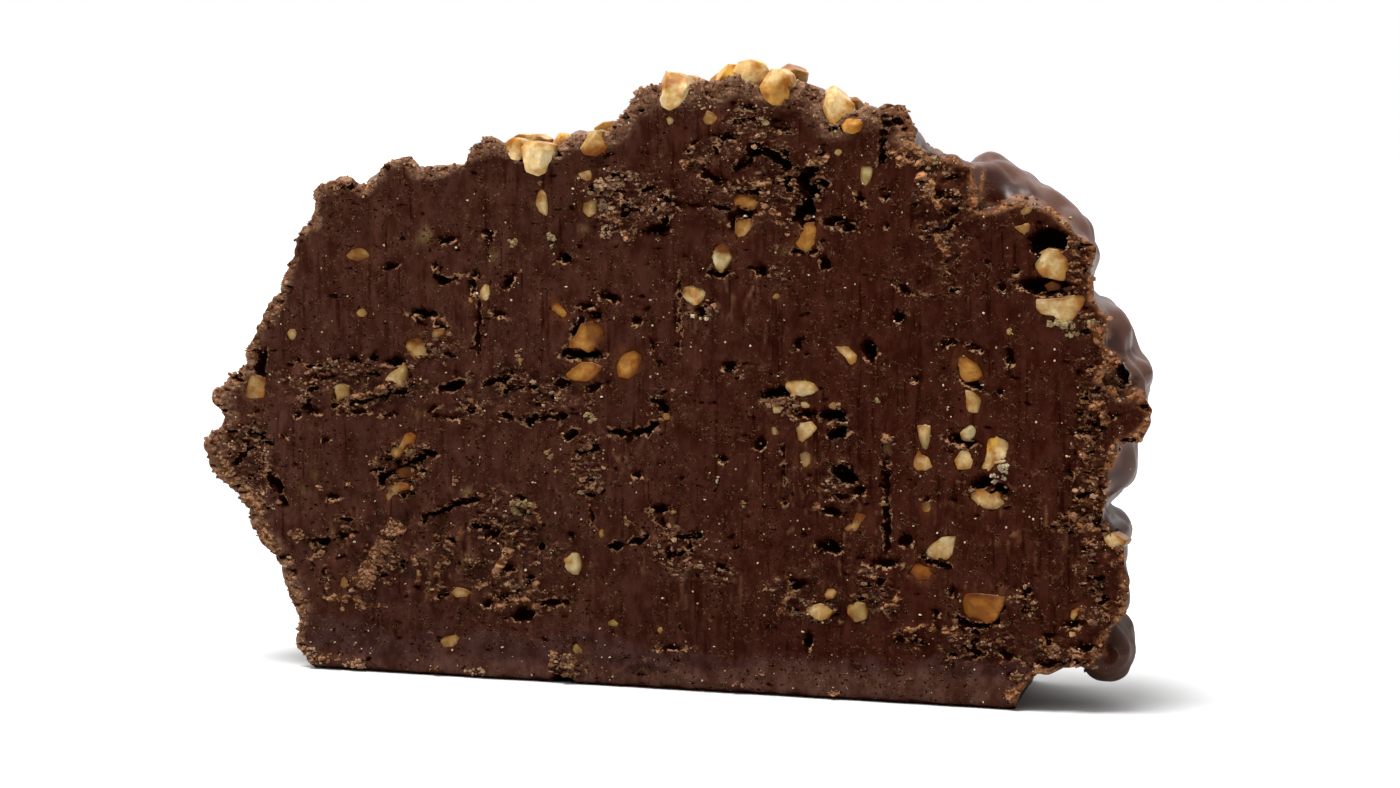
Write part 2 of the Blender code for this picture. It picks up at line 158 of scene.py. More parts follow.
TONES = {
    "cream": (0.41, 0.285, 0.125),
    "pale": (0.36, 0.280, 0.135),
    "white": (0.60, 0.50, 0.32),
    "golden": (0.30, 0.148, 0.029),
    "yellow": (0.38, 0.20, 0.028),
    "amber": (0.125, 0.042, 0.005),
    "orange": (0.200, 0.070, 0.0065),
    "tan": (0.25, 0.148, 0.048),
    "greenish": (0.25, 0.185, 0.068),
    "dim": (0.15, 0.085, 0.034),
}
CRUMB_TONES = {
    **TONES,
    "pink": (0.33, 0.165, 0.090),
    "brown": (0.15, 0.067, 0.037),
    "rust": (0.20, 0.078, 0.038),
    "orange": (0.28, 0.118, 0.052),
    "sand": (0.42, 0.255, 0.150),
    "dark": (0.050, 0.020, 0.013),
}
FLAKY_TONES = ("pink", "brown", "rust", "orange")
OILY_TONES = ("golden", "orange", "amber")
BACK_TONES = (
    ("cream", "tan"), ("golden", "amber"), ("tan", "dim"), ("cream", "pale"), ("pale", "greenish"),
    ("golden", "orange"), ("dim", "dim"),
)
TOP_TONES = (("cream", "golden"), ("golden", "cream"), ("tan", "cream"), ("golden", "amber"))


def paired(numbers):
    """The points of a line that is written x, z, x, z."""
    return tuple(zip(numbers[::2], numbers[1::2]))


OUTLINE = paired((
    -48, -0.6, -50.3, 3.4, -50, 8, -52.8, 13.5, -55.6, 17.2, -58.6, 22.4, -62.2, 24.8, -63.7, 28.8,
    -60.9, 31.6, -61.8, 35.2, -57.3, 39.4, -56.7, 43.4, -52.8, 47.9, -50.6, 53.3, -50.5, 55.9, -47.2, 58.2,
    -47.1, 62, -43, 63.1, -40.3, 62.2, -37.6, 65.3, -34.8, 66.2, -32.6, 64.3, -27, 65.2, -22.6, 68.7,
    -18.5, 67, -13.5, 67.2, -11, 69, -6, 69.6, -3.7, 72.9, -0.6, 75.2, 5, 74.8, 10.7, 76.3, 14.5, 75,
    20.6, 75.1, 23.4, 71, 27.4, 72.2, 31.4, 73.2, 34, 71, 33.4, 68.8, 38.2, 67, 42.1, 66.2, 42.1, 60.9,
    44.8, 60.9, 47.6, 62.3, 51.4, 60.8, 54.6, 58.7, 57.4, 56.3, 56.6, 53.6, 57, 50.6, 59.2, 48, 58.4, 45.2,
    60, 42.7, 58, 40.6, 60.6, 38.4, 62.9, 39.4, 64.2, 35.6, 62.9, 33.4, 60.6, 32.8, 58.8, 29, 58.7, 23,
    61.4, 19.4, 61.6, 12.6, 59.2, 10.2, 57.2, 6.2, 50.2, 4, 48.2, 2.2, 47.4, -0.6,
))

# The skin's lobes at the right end: centre x, y, z and radii.
SKIN_LOBES = (
    (42.4, -2.5, 61.8, 5.6, 8, 6.7), (48.8, -2.5, 59, 5.4, 8, 6.3), (45.8, -2, 60.4, 6.2, 8.4, 6.2),
    (53.5, -3, 57, 3.8, 7, 5), (56.9, -2.5, 45, 5.6, 8, 6), (60.4, -2.5, 40.5, 4.5, 8, 3.5),
    (58.3, -2.5, 31.5, 4.9, 8, 6.5), (58.8, -2.5, 21.2, 3.8, 8, 3.2), (59.4, -2.5, 6.9, 3.7, 8, 4.1),
)

# Crumbly stretches that are in the solid too: centre x, z, radii, how much of them looks torn.
CRUMBLY = (
    (-4, 61.5, 8.5, 5.5, 0.72), (13.5, 65.5, 11, 9.5, 0.6), (38, 60, 5, 8, 0.66), (-43, 37.5, 13, 4.6, 0.84),
    (-18, 36.5, 12, 4.6, 0.72), (-35.5, 26.5, 5, 5, 0.78), (-58, 26, 5, 9, 0.9), (-30, 15.5, 25, 7.5, 0.54),
    (22, 12.5, 8, 4, 0.62), (46, 7, 14, 3, 0.7), (57, 27, 3, 22, 0.8),
)

# Smaller ones, rough only on the surface.
LIGHTLY_CRUMBLY = (
    (38.6, 55, 1.3, 8), (38, 50.8, 5, 1.2), (41, 61.5, 3, 4), (55.5, 54.5, 2.6, 4.5), (56, 47, 3, 2.4),
    (57, 41, 3.2, 3.6), (25.5, 26.5, 3.6, 4), (12.5, 40.5, 3.6, 1.8), (16.5, 36.5, 3.6, 2.4),
    (0.5, 35, 1.6, 5), (-12, 2.2, 2.8, 1.8), (6, 17, 8, 4), (29.5, 12.5, 3, 5), (25, 59, 3, 1.6),
    (16.6, 53.5, 1.5, 4), (-20.5, 21, 4, 5), (48.5, 13, 2, 3), (54, 23, 3, 2), (-30, 42.5, 6, 2.5),
    (24.5, 34, 2.4, 2.4), (59.6, 20.5, 2.8, 3.6), (60.4, 11.8, 2.6, 3.2), (-9, 28, 3, 6), (6.5, 48, 3, 1.6),
)

# Stretches that the knife dragged into thin upright ridges.
DRAGGED = (
    (-30, 17, 27, 10), (6, 18, 16, 9), (22, 23, 13, 12), (46, 20, 11, 14), (-8, 28, 9, 8), (10, 48, 8, 10),
)

# Torn pits in the front cut: x, z, width, height, lean in degrees, depth.
PITS = (
    (51.4, 57, 4.8, 3.4, 4, 4.5), (51.2, 51.6, 6.6, 1.9, -4, 3.5), (60.7, 41.2, 1.3, 3, 10, 3),
    (25.3, 28, 3.2, 2.3, -20, 3.6), (23.7, 35.3, 3.1, 1.4, 14, 3), (24.5, 33.1, 2.8, 1.4, 12, 2.6),
    (16.4, 37.7, 3.8, 1.3, 6, 3), (28.7, 43.3, 1.7, 2.6, 12, 2.6), (23.3, 19, 3, 1.6, -10, 2),
    (-18.2, 8.4, 3.2, 1.5, 14, 1.8), (-12.8, 0.2, 2.8, 1.8, 0, 1.8), (-9.8, 42, 5, 1.4, 2, 3.5),
    (9.7, 69.4, 2.4, 0.8, 5, 1.6), (8, 64.5, 2.6, 0.8, -14, 1.6), (17.5, 64.4, 1.3, 0.9, 0, 1.4),
    (12.3, 60.2, 3, 0.8, 0, 2), (10.6, 59.2, 1, 1.7, -10, 1.8), (24.3, 59.3, 3.4, 0.8, 4, 1.8),
    (25.8, 58.4, 2, 0.9, -8, 1.2), (22.8, 54.1, 1.6, 1.2, -48, 1.6), (14.3, 52.9, 1.4, 1, -26, 1.6),
    (0.2, 57.9, 3.4, 0.8, 4, 1.8), (1.2, 58.9, 1.8, 0.6, 40, 1.2), (4.3, 61, 3.4, 0.5, -2, 1),
    (6.6, 47.9, 1.6, 1.2, 0, 1.2), (-28.6, 56.2, 2.4, 0.8, 12, 1.6), (-25.1, 50.5, 0.8, 1.8, 8, 1.5),
    (-24.8, 51.8, 1.5, 0.6, -8, 1), (-20, 51.1, 2.4, 0.9, 48, 1.8), (-12.3, 54.1, 2, 1.1, 0, 2),
    (-6.1, 49.4, 2.4, 0.8, -14, 1.4), (-29.6, 45.2, 1.7, 0.6, -10, 1.6), (-36.8, 52.7, 2.2, 0.7, 10, 1.2),
    (-22.8, 57.2, 1.5, 0.7, 0, 1.2), (-30.4, 52.8, 0.8, 0.8, 0, 1.2), (32.4, 47.6, 1.2, 1.6, 20, 1.6),
    (33.2, 50.9, 1.5, 0.7, -24, 1.4), (34.5, 40, 1.3, 0.8, 10, 1.6), (10.2, 40.9, 1.9, 0.8, 4, 1.6),
    (1.3, 35.5, 1.4, 1.2, -30, 1.8), (14.3, 31.4, 1.7, 1.2, 34, 1), (9.2, 29.4, 1.1, 0.8, -24, 1),
    (27.4, 26, 1.8, 0.9, 20, 1.4), (23.9, 23.3, 2.8, 0.9, -10, 1.8), (30.8, 17.2, 3.6, 0.8, 2, 1.2),
    (-2.3, 27, 1.1, 0.7, 0, 1.3), (-19.8, 39.2, 1, 0.6, 0, 1.2), (0.9, 22.8, 1.9, 0.8, -6, 1.6),
    (1.4, 21, 0.8, 1.2, 30, 1.2), (2, 17, 0.8, 1.4, 0, 1), (9.2, 15.8, 1.4, 0.8, 8, 1.2),
    (4.8, 18.3, 1.1, 0.7, 0, 1), (2.4, 5.3, 2.8, 0.6, 2, 0.8), (20.7, 7, 1.2, 1.8, 0, 1.4),
    (19, 14, 2, 1, 10, 1.4), (-22.5, 18.7, 2.2, 0.9, 10, 1.4), (-20, 17.2, 1.2, 0.6, 0, 1.2),
    (-20.2, 14.3, 1.2, 0.7, 10, 1), (-21, 10.7, 2, 0.6, 0, 1), (-23.4, 9.6, 1.1, 1.1, 0, 1.4),
    (-17, 12.2, 1.2, 0.8, 0, 1), (-11.5, 18.8, 0.8, 0.8, 0, 1), (45.6, 51.4, 1.1, 0.7, 0, 1.3),
    (47.3, 53.4, 1, 0.6, 10, 1.2), (38.7, 44.5, 1.8, 0.6, 10, 1.3), (42.2, 44.1, 2.4, 0.6, -25, 1.2),
    (46.6, 43, 0.9, 2.4, 0, 0.8), (45.3, 38.6, 1.1, 0.6, -6, 1.3), (42.2, 39.5, 2.6, 0.8, -24, 1.8),
    (40.6, 32.7, 3.6, 1, -12, 1.8), (43.3, 27.6, 2.8, 1.6, 20, 2.4), (45.6, 26.7, 1.8, 1.2, -40, 2),
    (36.2, 25.4, 1, 0.6, 0, 1.2), (54.2, 29.3, 0.7, 1, 30, 1.2), (30.8, 62.3, 1, 0.6, 20, 1),
    (30.8, 58.7, 0.6, 1, 0, 1), (38, 62.6, 1.3, 0.8, 10, 1.2), (39.5, 60.6, 0.8, 0.8, 0, 1.2),
    (38.4, 60, 1.4, 0.5, 0, 1), (39.4, 59, 1.2, 0.5, 10, 1), (33.4, 20.2, 1.6, 1.6, 0, 1),
    (39.6, 14, 0.7, 1.1, 0, 1.2), (37.3, 11.4, 0.7, 0.9, 0, 1.2), (49, 14.6, 1.5, 0.9, -20, 1.2),
    (54.8, 10.9, 2.2, 0.8, 8, 1.2), (56.6, 8.1, 2.6, 0.7, 2, 1.4), (52, 5.9, 3.2, 0.6, 4, 1.2),
    (42.6, 6.6, 1.4, 1, 10, 1), (46.2, 6.6, 2.4, 0.7, -10, 1), (34.6, 7.9, 1.4, 0.5, 0, 0.8),
    (58.1, 23, 1.3, 0.8, 10, 1.6), (57, 35.1, 1.6, 0.8, 22, 1.5), (58.6, 36.1, 1.8, 0.4, 8, 1),
    (55.4, 41.4, 0.9, 0.8, 0, 1.4), (56.8, 42.1, 1.3, 0.5, 10, 1.2), (55.4, 34, 1.6, 0.7, 0, 1.2),
    (-41.9, 40.6, 1.7, 0.8, -14, 1.6), (-36.3, 40.4, 2.6, 1, 12, 1.8), (-47.2, 38, 1.7, 0.6, 0, 1.2),
    (-36.9, 33.6, 1.9, 0.4, 4, 1), (-41.8, 33.7, 2.6, 0.5, 2, 1.2), (-48.3, 33.8, 1.8, 0.6, -20, 1.2),
    (-50.4, 33.1, 0.9, 1.1, 0, 1), (-59, 31.4, 1.2, 0.5, 14, 0.9), (-58.5, 29.2, 0.8, 0.8, 0, 0.9),
    (-46.2, 30, 0.9, 0.6, 0, 0.8), (-52.2, 30.3, 0.7, 0.5, 0, 0.8), (-45.3, 22.5, 1.5, 0.6, 0, 1),
    (-50.2, 40.2, 1, 0.6, 0, 1), (-32.2, 46.7, 4, 1, -2, 3), (7.4, 74.6, 0.8, 0.5, 0, 0.9),
    (12.7, 73.1, 1.4, 0.6, 0, 1.2), (17, 70.5, 1.2, 0.5, 0, 1), (5.3, 68.7, 1.3, 0.6, 26, 1),
    (-0.2, 43.2, 0.5, 1.2, 0, 0.8), (19.3, 43.9, 0.9, 1, 0, 0.9), (-31, 34.4, 1.5, 0.5, 22, 1.2),
    (-28, 33.4, 1.8, 0.5, 6, 1), (-9, 48.3, 2.2, 0.7, 12, 1.2), (-2.4, 46.4, 1, 0.8, 0, 0.8),
    (-7.9, 47, 1.6, 1, -10, 1.8), (20.3, 35.4, 3, 0.7, 4, 2), (-8.3, 37.9, 1.6, 0.7, 10, 1.2),
    (27.5, 61.9, 1.2, 0.7, -40, 1), (41.8, 10, 3.8, 0.5, 4, 1), (-21.3, 46.8, 1.8, 0.6, -20, 1),
)

# Torn cracks in the front cut: width, depth, line.
CRACKS = (
    (1.3, 3, 12.9, 67.8, 14.8, 68, 16.2, 67.2, 17.3, 66.2), (0.7, 1.4, 11.2, 65.7, 12.6, 66.6),
    (2.1, 5, 20.2, 64.6, 20.3, 62.6, 20.6, 61, 19.9, 59.6), (1.2, 3, 20.8, 64.7, 22.4, 63.7),
    (0.9, 2.6, -38.3, 24.9, -36.5, 26.3, -34, 27.4, -32, 28.6, -30.3, 28.7),
    (0.6, 2.4, -32, 20.6, -29.5, 21.2, -27.5, 22.5, -24.5, 23.1),
    (0.6, 1.6, -20.8, 33.9, -19, 33.5, -18.3, 33.4),
    (0.7, 2.2, -17.6, 33.3, -16, 33.8, -14.8, 34, -12.5, 34.1),
    (0.8, 2.2, -13, 32.1, -12, 31.2, -10.9, 32.2), (0.7, 2, -6, 32.3, -3.5, 32.1, -1.2, 32.4, -0.1, 33.4),
    (1, 2.6, -30, 37.2, -28, 37.5, -26.4, 38.1), (0.5, 1.3, -23.5, 38, -22, 38.3, -20.5, 38.7, -19.8, 39.2),
    (0.6, 2, -6, 17.6, -3.8, 18.1, -1.3, 19), (0.6, 1.8, -49, 16.5, -46.8, 16.6, -44.4, 17.4, -42.5, 18),
    (0.5, 1.2, -16, 10, -12, 10.5), (0.7, 1.2, 31, 19.2, 30.9, 24, 30.9, 30),
    (0.6, 2.4, 30.1, 66.4, 30.1, 70.4), (0.7, 1.6, 32.4, 71.4, 30.4, 71.2),
    (0.5, 0.7, -24.4, 41.5, -24.3, 49), (1.6, 1.8, -55.6, 38.6, -55.7, 41),
    (0.6, 1.8, -30.4, 51.5, -29.3, 50.9, -27.4, 51.2),
    (0.6, 1.8, -42.3, 34.9, -40.5, 35.2, -38, 35.9, -35, 36.5),
    (0.9, 1.6, -54.5, 24.8, -53.3, 23.6, -52.6, 21.6), (0.7, 2, -11.2, 44.4, -10.6, 45.6, -9.8, 46.3),
    (0.8, 2, -12.4, 42, -12, 42.6), (0.5, 1.6, 7.6, 52.7, 8.8, 52.2, 10, 52.9),
    (0.5, 1.4, 18.8, 55.5, 20.5, 55.1, 21.8, 55.7),
    (0.5, 1.6, 40, 11, 41.2, 10.2, 43.8, 10, 45.2, 10.6, 46, 12.4),
    (0.4, 1.4, 35.4, 18.1, 37.4, 17.5, 39, 17.1), (0.4, 0.5, -9, 24.8, -8.4, 20),
    (0.5, 0.35, 3.4, 42, 3.4, 53), (0.5, 0.4, 17.6, 24, 17.3, 31.5), (0.5, 0.5, -0.9, 22.6, 0.6, 20.8),
)

# Low ridges that stand out of the cut: width, height, line.
RIDGES = (
    (0.9, 0.35, -5, 1.8, -3, 2.9, 0, 3.3, 2, 2.8, 3.5, 1.8), (0.8, 0.25, 3.5, 1.8, 9, 1, 16, 0.9),
    (0.8, 0.25, -6, 4, -1, 4.2), (0.7, 0.5, -43.6, 24.2, -41.5, 24.2, -39, 22.6, -38, 22),
    (0.8, 0.7, -43, 35.4, -40, 36.2, -37.5, 36.9), (0.8, 0.5, 22.4, 28.6, 23, 29.8, 24.4, 29.9),
)

# Torn flakes that lie on the front cut: width, line.
FLAKES = (
    (2.2, -41, 11.6, -39.8, 13.4, -38.4, 15.4, -37.2, 17, -36.2, 18.8),
    (1, -43.2, 35.3, -40, 36.1, -37.4, 37, -35.2, 37.6), (1.1, -33, 12.2, -33.4, 14.8),
    (0.8, -30.6, 13, -29.6, 15), (1.2, -22.4, 13.4, -20.6, 15.6, -20.4, 17.8),
    (0.9, -21, 9.4, -18.4, 10.4, -16.4, 12.4), (0.8, -24.6, 11.8, -22.8, 12.6),
    (0.7, -47, 9.6, -44, 9, -41.2, 9.6), (0.5, -16.8, 22.4, -15.6, 20.4), (0.9, -49, 1, -44.4, 1.6),
    (0.8, -42.6, 0.8, -40.4, 1.2), (1.1, -13.8, 3.2, -12, 1.2, -10.2, 3), (1.3, 47.6, 1.6, 49.2, 3.6),
    (1, 51, 4.6, 54.2, 4.4, 57.4, 5.8), (1.5, 51.6, 7.8, 52.8, 7), (0.7, 17, 10.2, 18.4, 13, 17.6, 15.4),
    (0.6, 31.6, 8.4, 35.6, 9.6, 39, 9), (0.8, 31, 11.2, 32.6, 13.4), (1.3, -58, 22.6, -56.2, 20.6),
    (1.2, -62, 27.4, -60.2, 25), (1.1, -55.2, 17.8, -53.8, 15.2), (0.9, -51.6, 10.8, -51, 7.4),
    (1.4, 35.6, 64.8, 37.6, 61.2), (1, 36.8, 59, 38.2, 55.6), (1.1, 32.4, 66.8, 36, 66.4),
    (1.4, 56.6, 47.4, 58.6, 44.2), (1.3, 56.4, 39.2, 58.8, 35.8), (0.9, 55.8, 31.4, 57.6, 26.8),
    (1, 54.6, 24.2, 56.8, 22.6), (0.8, 16, 60.6, 17.8, 57.6), (0.8, 4.4, 66, 7.4, 67.2),
    (0.8, -5.8, 59.6, -3.8, 56.8), (0.8, 11.6, 64.2, 14.8, 63.6, 18.2, 65.2), (0.9, 20.8, 66.4, 23.4, 67),
)

# Nuts that the knife went through: tone, other tone, side of the other tone in degrees from +x,
# how far the face stands out of the cut, outline.
CUT_NUTS = (
    ("cream", "golden", -20, 0.2, 48.6, 54.1, 50.1, 55.7, 51.3, 56.3, 52.7, 56.1, 53.8, 55, 54, 53.4,
     53.5, 52.3, 52.5, 52.4, 50.8, 52.8, 49.6, 53.4),
    ("cream", "golden", 30, 0.5, 49.9, 50.1, 53.1, 50.3, 54.5, 50.7, 56.5, 50.7, 55.7, 48.8, 54.9, 48.1,
     54, 47.1, 53.3, 46.8, 52.1, 48.1, 50.5, 48.3, 49.9, 49),
    ("tan", "golden", -60, 0.3, -57.1, 38.1, -55.9, 38.1, -55, 37.6, -54.9, 36.2, -55.1, 35, -56.9, 34.7,
     -58, 35.2, -57.8, 36.4, -57.5, 37.4),
    ("greenish", "tan", -30, 0.3, -45.6, 36.4, -44.8, 37.2, -43.7, 37.3, -42.9, 37, -42.9, 35.9, -43.5, 35.1,
     -44.4, 34.5, -45.7, 35, -45.2, 35.6),
    ("pale", "greenish", 0, 0.3, -37.5, 38, -36.7, 39, -35.3, 39.7, -35, 40.4, -34.5, 39.5, -34.4, 38.1,
     -35, 37.4, -36.2, 37.4),
    ("tan", "orange", 0, 0.2, -37, 29.7, -36.9, 28.3, -36, 27.9, -35.2, 28.5, -34.3, 29.6, -33.3, 29.9,
     -33.2, 31, -34, 31.3, -34.7, 31.1, -35.2, 30.1, -36, 29.3),
    ("tan", "orange", 60, 0.1, -37.5, 22.3, -37.6, 23.1, -36.9, 24.3, -35.8, 24.8, -34.4, 24.6, -34.2, 23.9,
     -35.5, 23.7, -36.5, 22.8, -37, 22.3),
    ("amber", "amber", 0, 0, -36.6, 26.4, -34.6, 26.9, -33, 26.3, -33.2, 25.2, -35, 25.3, -36.8, 25.2),
    ("tan", "amber", 180, 0.2, -31.7, 43.8, -30.5, 44.7, -29, 44.9, -29.4, 44, -30.5, 43.3, -31.5, 43.3),
    ("tan", "amber", 100, 0, -34.8, 43.5, -33.2, 44.1, -32, 43.4, -31.4, 42, -31.9, 41, -33, 40.8,
     -33.9, 41.2, -34.9, 42.2),
    ("cream", "tan", 180, 0.1, -23.5, 50.7, -22.7, 50.5, -22.6, 49.4, -22.9, 48.2, -23.8, 48.3, -24.4, 48.9,
     -24.1, 49.8),
    ("tan", "pale", 0, 0.1, -26.4, 48.9, -25, 49, -24.8, 48.1, -25.9, 48.1),
    ("cream", "pale", 0, 0.3, -16.2, 62.6, -15.4, 62.8, -14.7, 62.8, -14.6, 60.7, -14.7, 59.3, -15.8, 59.9,
     -16.3, 60.8),
    ("cream", "golden", -40, 0.3, -11.3, 64.8, -9.5, 65.5, -8.4, 65.5, -8.2, 64.6, -8.6, 63.5, -9.8, 64),
    ("greenish", "cream", -80, 0.2, -9.8, 61.6, -7.9, 61.6, -8, 59.8, -8.8, 59.3, -9.7, 59.9, -10, 60.8),
    ("golden", "amber", 150, 0.1, -14.2, 49, -13.6, 48.8, -12.1, 47.5, -11.7, 46.7, -12.8, 46.2, -13.7, 46.7,
     -14.2, 47.8),
    ("golden", "amber", 20, 0.35, -10, 45.9, -8.4, 46.3, -7.2, 46, -6.8, 45, -7.2, 43.6, -7.9, 42.9,
     -9, 42.2, -10.2, 42.8, -11.8, 42.7, -11.6, 43.6, -10.7, 44.5),
    ("golden", "orange", 0, 0.35, -11.8, 38.9, -12.2, 39.3, -11.3, 40.1, -10, 41, -8.6, 41.1, -7.1, 40.5,
     -7.7, 39.6, -8.6, 38.8, -9.5, 38.5, -10.9, 38.6),
    ("golden", "amber", -20, 0.35, -5.2, 41.5, -4.2, 42.5, -2.8, 42.7, -1.8, 42.2, -1.7, 41, -2.4, 39.6,
     -3.5, 39, -4.9, 39.3, -5.4, 40.5),
    ("cream", "tan", 120, 0.2, 3.3, 49.4, 4.1, 51, 5.2, 51.3, 6.3, 50.7, 7.3, 50.1, 6.5, 49, 5.4, 48.1,
     4.6, 48.3, 3.7, 48.9),
    ("pale", "amber", 60, 0.3, 8.2, 53.1, 7.5, 54.5, 8.2, 55.8, 9.1, 56.3, 10.1, 55.8, 10.5, 54.5, 9.5, 53.1,
     8.8, 52.5),
    ("golden", "amber", 90, 0.2, 10.6, 61.8, 11.4, 62.4, 12.8, 62.2, 14, 61.4, 13.2, 60.3, 11.8, 60.5,
     10.8, 61),
    ("golden", "cream", -60, 0.2, 10.9, 59.7, 12.1, 59.5, 13.3, 59.3, 13.1, 58, 12.3, 57.1, 11.4, 56.8,
     10.6, 57.7),
    ("golden", "orange", 40, 0.3, 20.2, 59, 21.4, 59.1, 21.8, 58.2, 21.4, 56.3, 20.5, 55.4, 19.5, 55.6,
     18.7, 56.4, 19.2, 57.5),
    ("greenish", "dim", 60, 0.1, 27.3, 66, 29.2, 66.3, 28.9, 64.5, 28.3, 63.2, 27.4, 63.8),
    ("tan", "cream", -60, 0.3, 7.2, 72.8, 8.1, 72.5, 8.7, 71.8, 7.9, 70.7, 6.7, 70.7, 6.8, 71.8),
    ("pale", "dim", 90, 0.2, 13.6, 71.8, 14.4, 72.2, 15.2, 71.8, 15.1, 70.9, 14.2, 70.7),
    ("cream", "golden", -40, 0.1, 24.1, 43.8, 25.9, 43.9, 27, 42.8, 26.9, 41.3, 26.1, 41.4, 25.5, 42.4,
     24.6, 43.1),
    ("cream", "orange", 100, 0.3, 17.6, 39.4, 18.8, 39.8, 20.4, 39.7, 21.5, 39, 22.1, 38.1, 21.1, 37.4,
     19.7, 37.1, 18.5, 37.5, 17.6, 38.5),
    ("pale", "pale", 0, 0.1, 19.3, 36.9, 21.2, 36.9, 20.8, 35.9, 19.6, 36),
    ("cream", "tan", 200, 0.2, 18.5, 33.6, 19.5, 34.3, 21.1, 34.4, 21.8, 33.6, 21.1, 32.7, 19.9, 31.7,
     19.2, 32),
    ("tan", "dim", 90, 0, 19.4, 30.4, 20.3, 30.8, 21.3, 30.3, 21.2, 29.2, 20.2, 28.4, 19.3, 28.8),
    ("cream", "tan", 0, 0.2, 15.4, 36.4, 16.4, 36.3, 17.6, 36.1, 16.9, 35.3, 16, 35.2),
    ("greenish", "dim", 0, 0.1, 15.7, 33.6, 16.5, 33.7, 17, 33, 16.6, 32.3, 15.9, 32.5),
    ("tan", "orange", 90, 0.2, 25.2, 21.3, 26.5, 22.2, 27, 23.4, 28.6, 23.1, 28.9, 22.6, 27.7, 22.1, 27, 21,
     25.7, 20.9),
    ("golden", "orange", 90, 0.35, 39.8, 43.3, 41, 43.3, 42.2, 42.6, 42.9, 41.6, 43.2, 40.6, 42.6, 40.1,
     41.2, 39.8, 40.3, 40.2, 39.7, 41.8),
    ("cream", "greenish", 0, 0.3, 40.9, 39, 41.8, 38.8, 43.2, 37.9, 42.7, 36.1, 41.1, 36.1, 41, 37.6),
    ("pale", "dim", -60, 0.2, 40.5, 34.5, 41.6, 34.9, 42.6, 34.6, 42.6, 33.4, 42, 32.5, 40.7, 32.6,
     40.3, 33.6),
    ("cream", "pale", 90, 0.3, 40.5, 31.5, 41.9, 31.6, 42.1, 30.4, 42, 29.2, 40.1, 29.1, 39.6, 30.2),
    ("cream", "yellow", 120, 0.25, 43.9, 33, 45, 33.6, 46.8, 32.9, 46.6, 31.3, 46.1, 30.4, 45, 30.1,
     44.1, 29, 42.9, 28.8, 42.2, 29.4, 43.2, 30.2, 43.4, 31.5),
    ("white", "white", 0, 0.5, 44.4, 30.3, 46.4, 30.6, 46.6, 30.3, 44.8, 29.9),
    ("cream", "tan", -60, 0.35, 41.5, 26.2, 42.5, 26.8, 43.4, 26.9, 44.3, 26.2, 45.1, 26.6, 45.7, 25.8,
     46.5, 24.8, 45.2, 24.4, 43.4, 24.4, 42.5, 25.1, 41.6, 25.5),
    ("cream", "greenish", -90, 0.3, 34.8, 34.4, 36.6, 34.4, 36.4, 31.7, 35.9, 31.1, 35.4, 31.6, 35.1, 32.9),
    ("cream", "orange", 110, 0.35, 35, 31.5, 35.5, 30.8, 36.3, 30.5, 36.9, 29.3, 36.1, 28.8, 35.1, 28.6,
     34.4, 29.2, 34.5, 30.4),
    ("tan", "dim", 90, 0.1, 35.5, 24.9, 36.6, 25.1, 36.9, 24, 36.3, 23.5, 35.5, 23.8),
    ("cream", "tan", -60, 0.3, 58.3, 21.9, 59.8, 22.1, 61.4, 21.2, 61.1, 20.6, 60, 20, 58.9, 20.6),
    ("cream", "pale", 20, 0.3, 35.3, 18.5, 36.5, 19.8, 38.1, 20.8, 39.9, 21, 39.8, 19.6, 39, 17.3,
     37.6, 17.8, 36.2, 18.1),
    ("orange", "amber", 120, 0.1, 33.8, 16.2, 34.8, 17.6, 36.5, 17.3, 37, 16.3, 36.5, 15.4, 35, 15.2),
    ("orange", "golden", -40, 0.3, 40.5, 13.7, 42.2, 14.1, 44.3, 14, 46.3, 13.8, 45.9, 12.5, 45, 10.8,
     43.8, 10.3, 42.5, 10.5, 41.3, 10.4, 40.3, 11.3, 40.2, 12.5),
    ("cream", "tan", 200, 0.2, 54.2, 11.4, 54.7, 12.5, 55.6, 12.9, 55.7, 12.2, 55, 11.3),
    ("white", "pale", 0, 0.2, 54.1, 10.1, 55.2, 9.9, 55.3, 9.4, 54.4, 9.2),
    ("tan", "greenish", 0, 0.2, 47.3, 60.4, 48.4, 61.2, 49.6, 61.3, 49.2, 60.5, 48.2, 60.1),
    ("pale", "white", 90, 0.3, 47, 58.8, 48, 59, 49.1, 59.5, 49, 58.2, 48.4, 57.9, 47.6, 58.2),
    ("orange", "amber", 0, -0.9, 50.5, 51.8, 51.6, 52.3, 52.7, 51.9, 52.6, 51.2, 51, 51),
    ("amber", "amber", 0, -1, 52.6, 51.4, 54.6, 52, 55.6, 51.6, 55.2, 50.9, 53.2, 50.8),
)

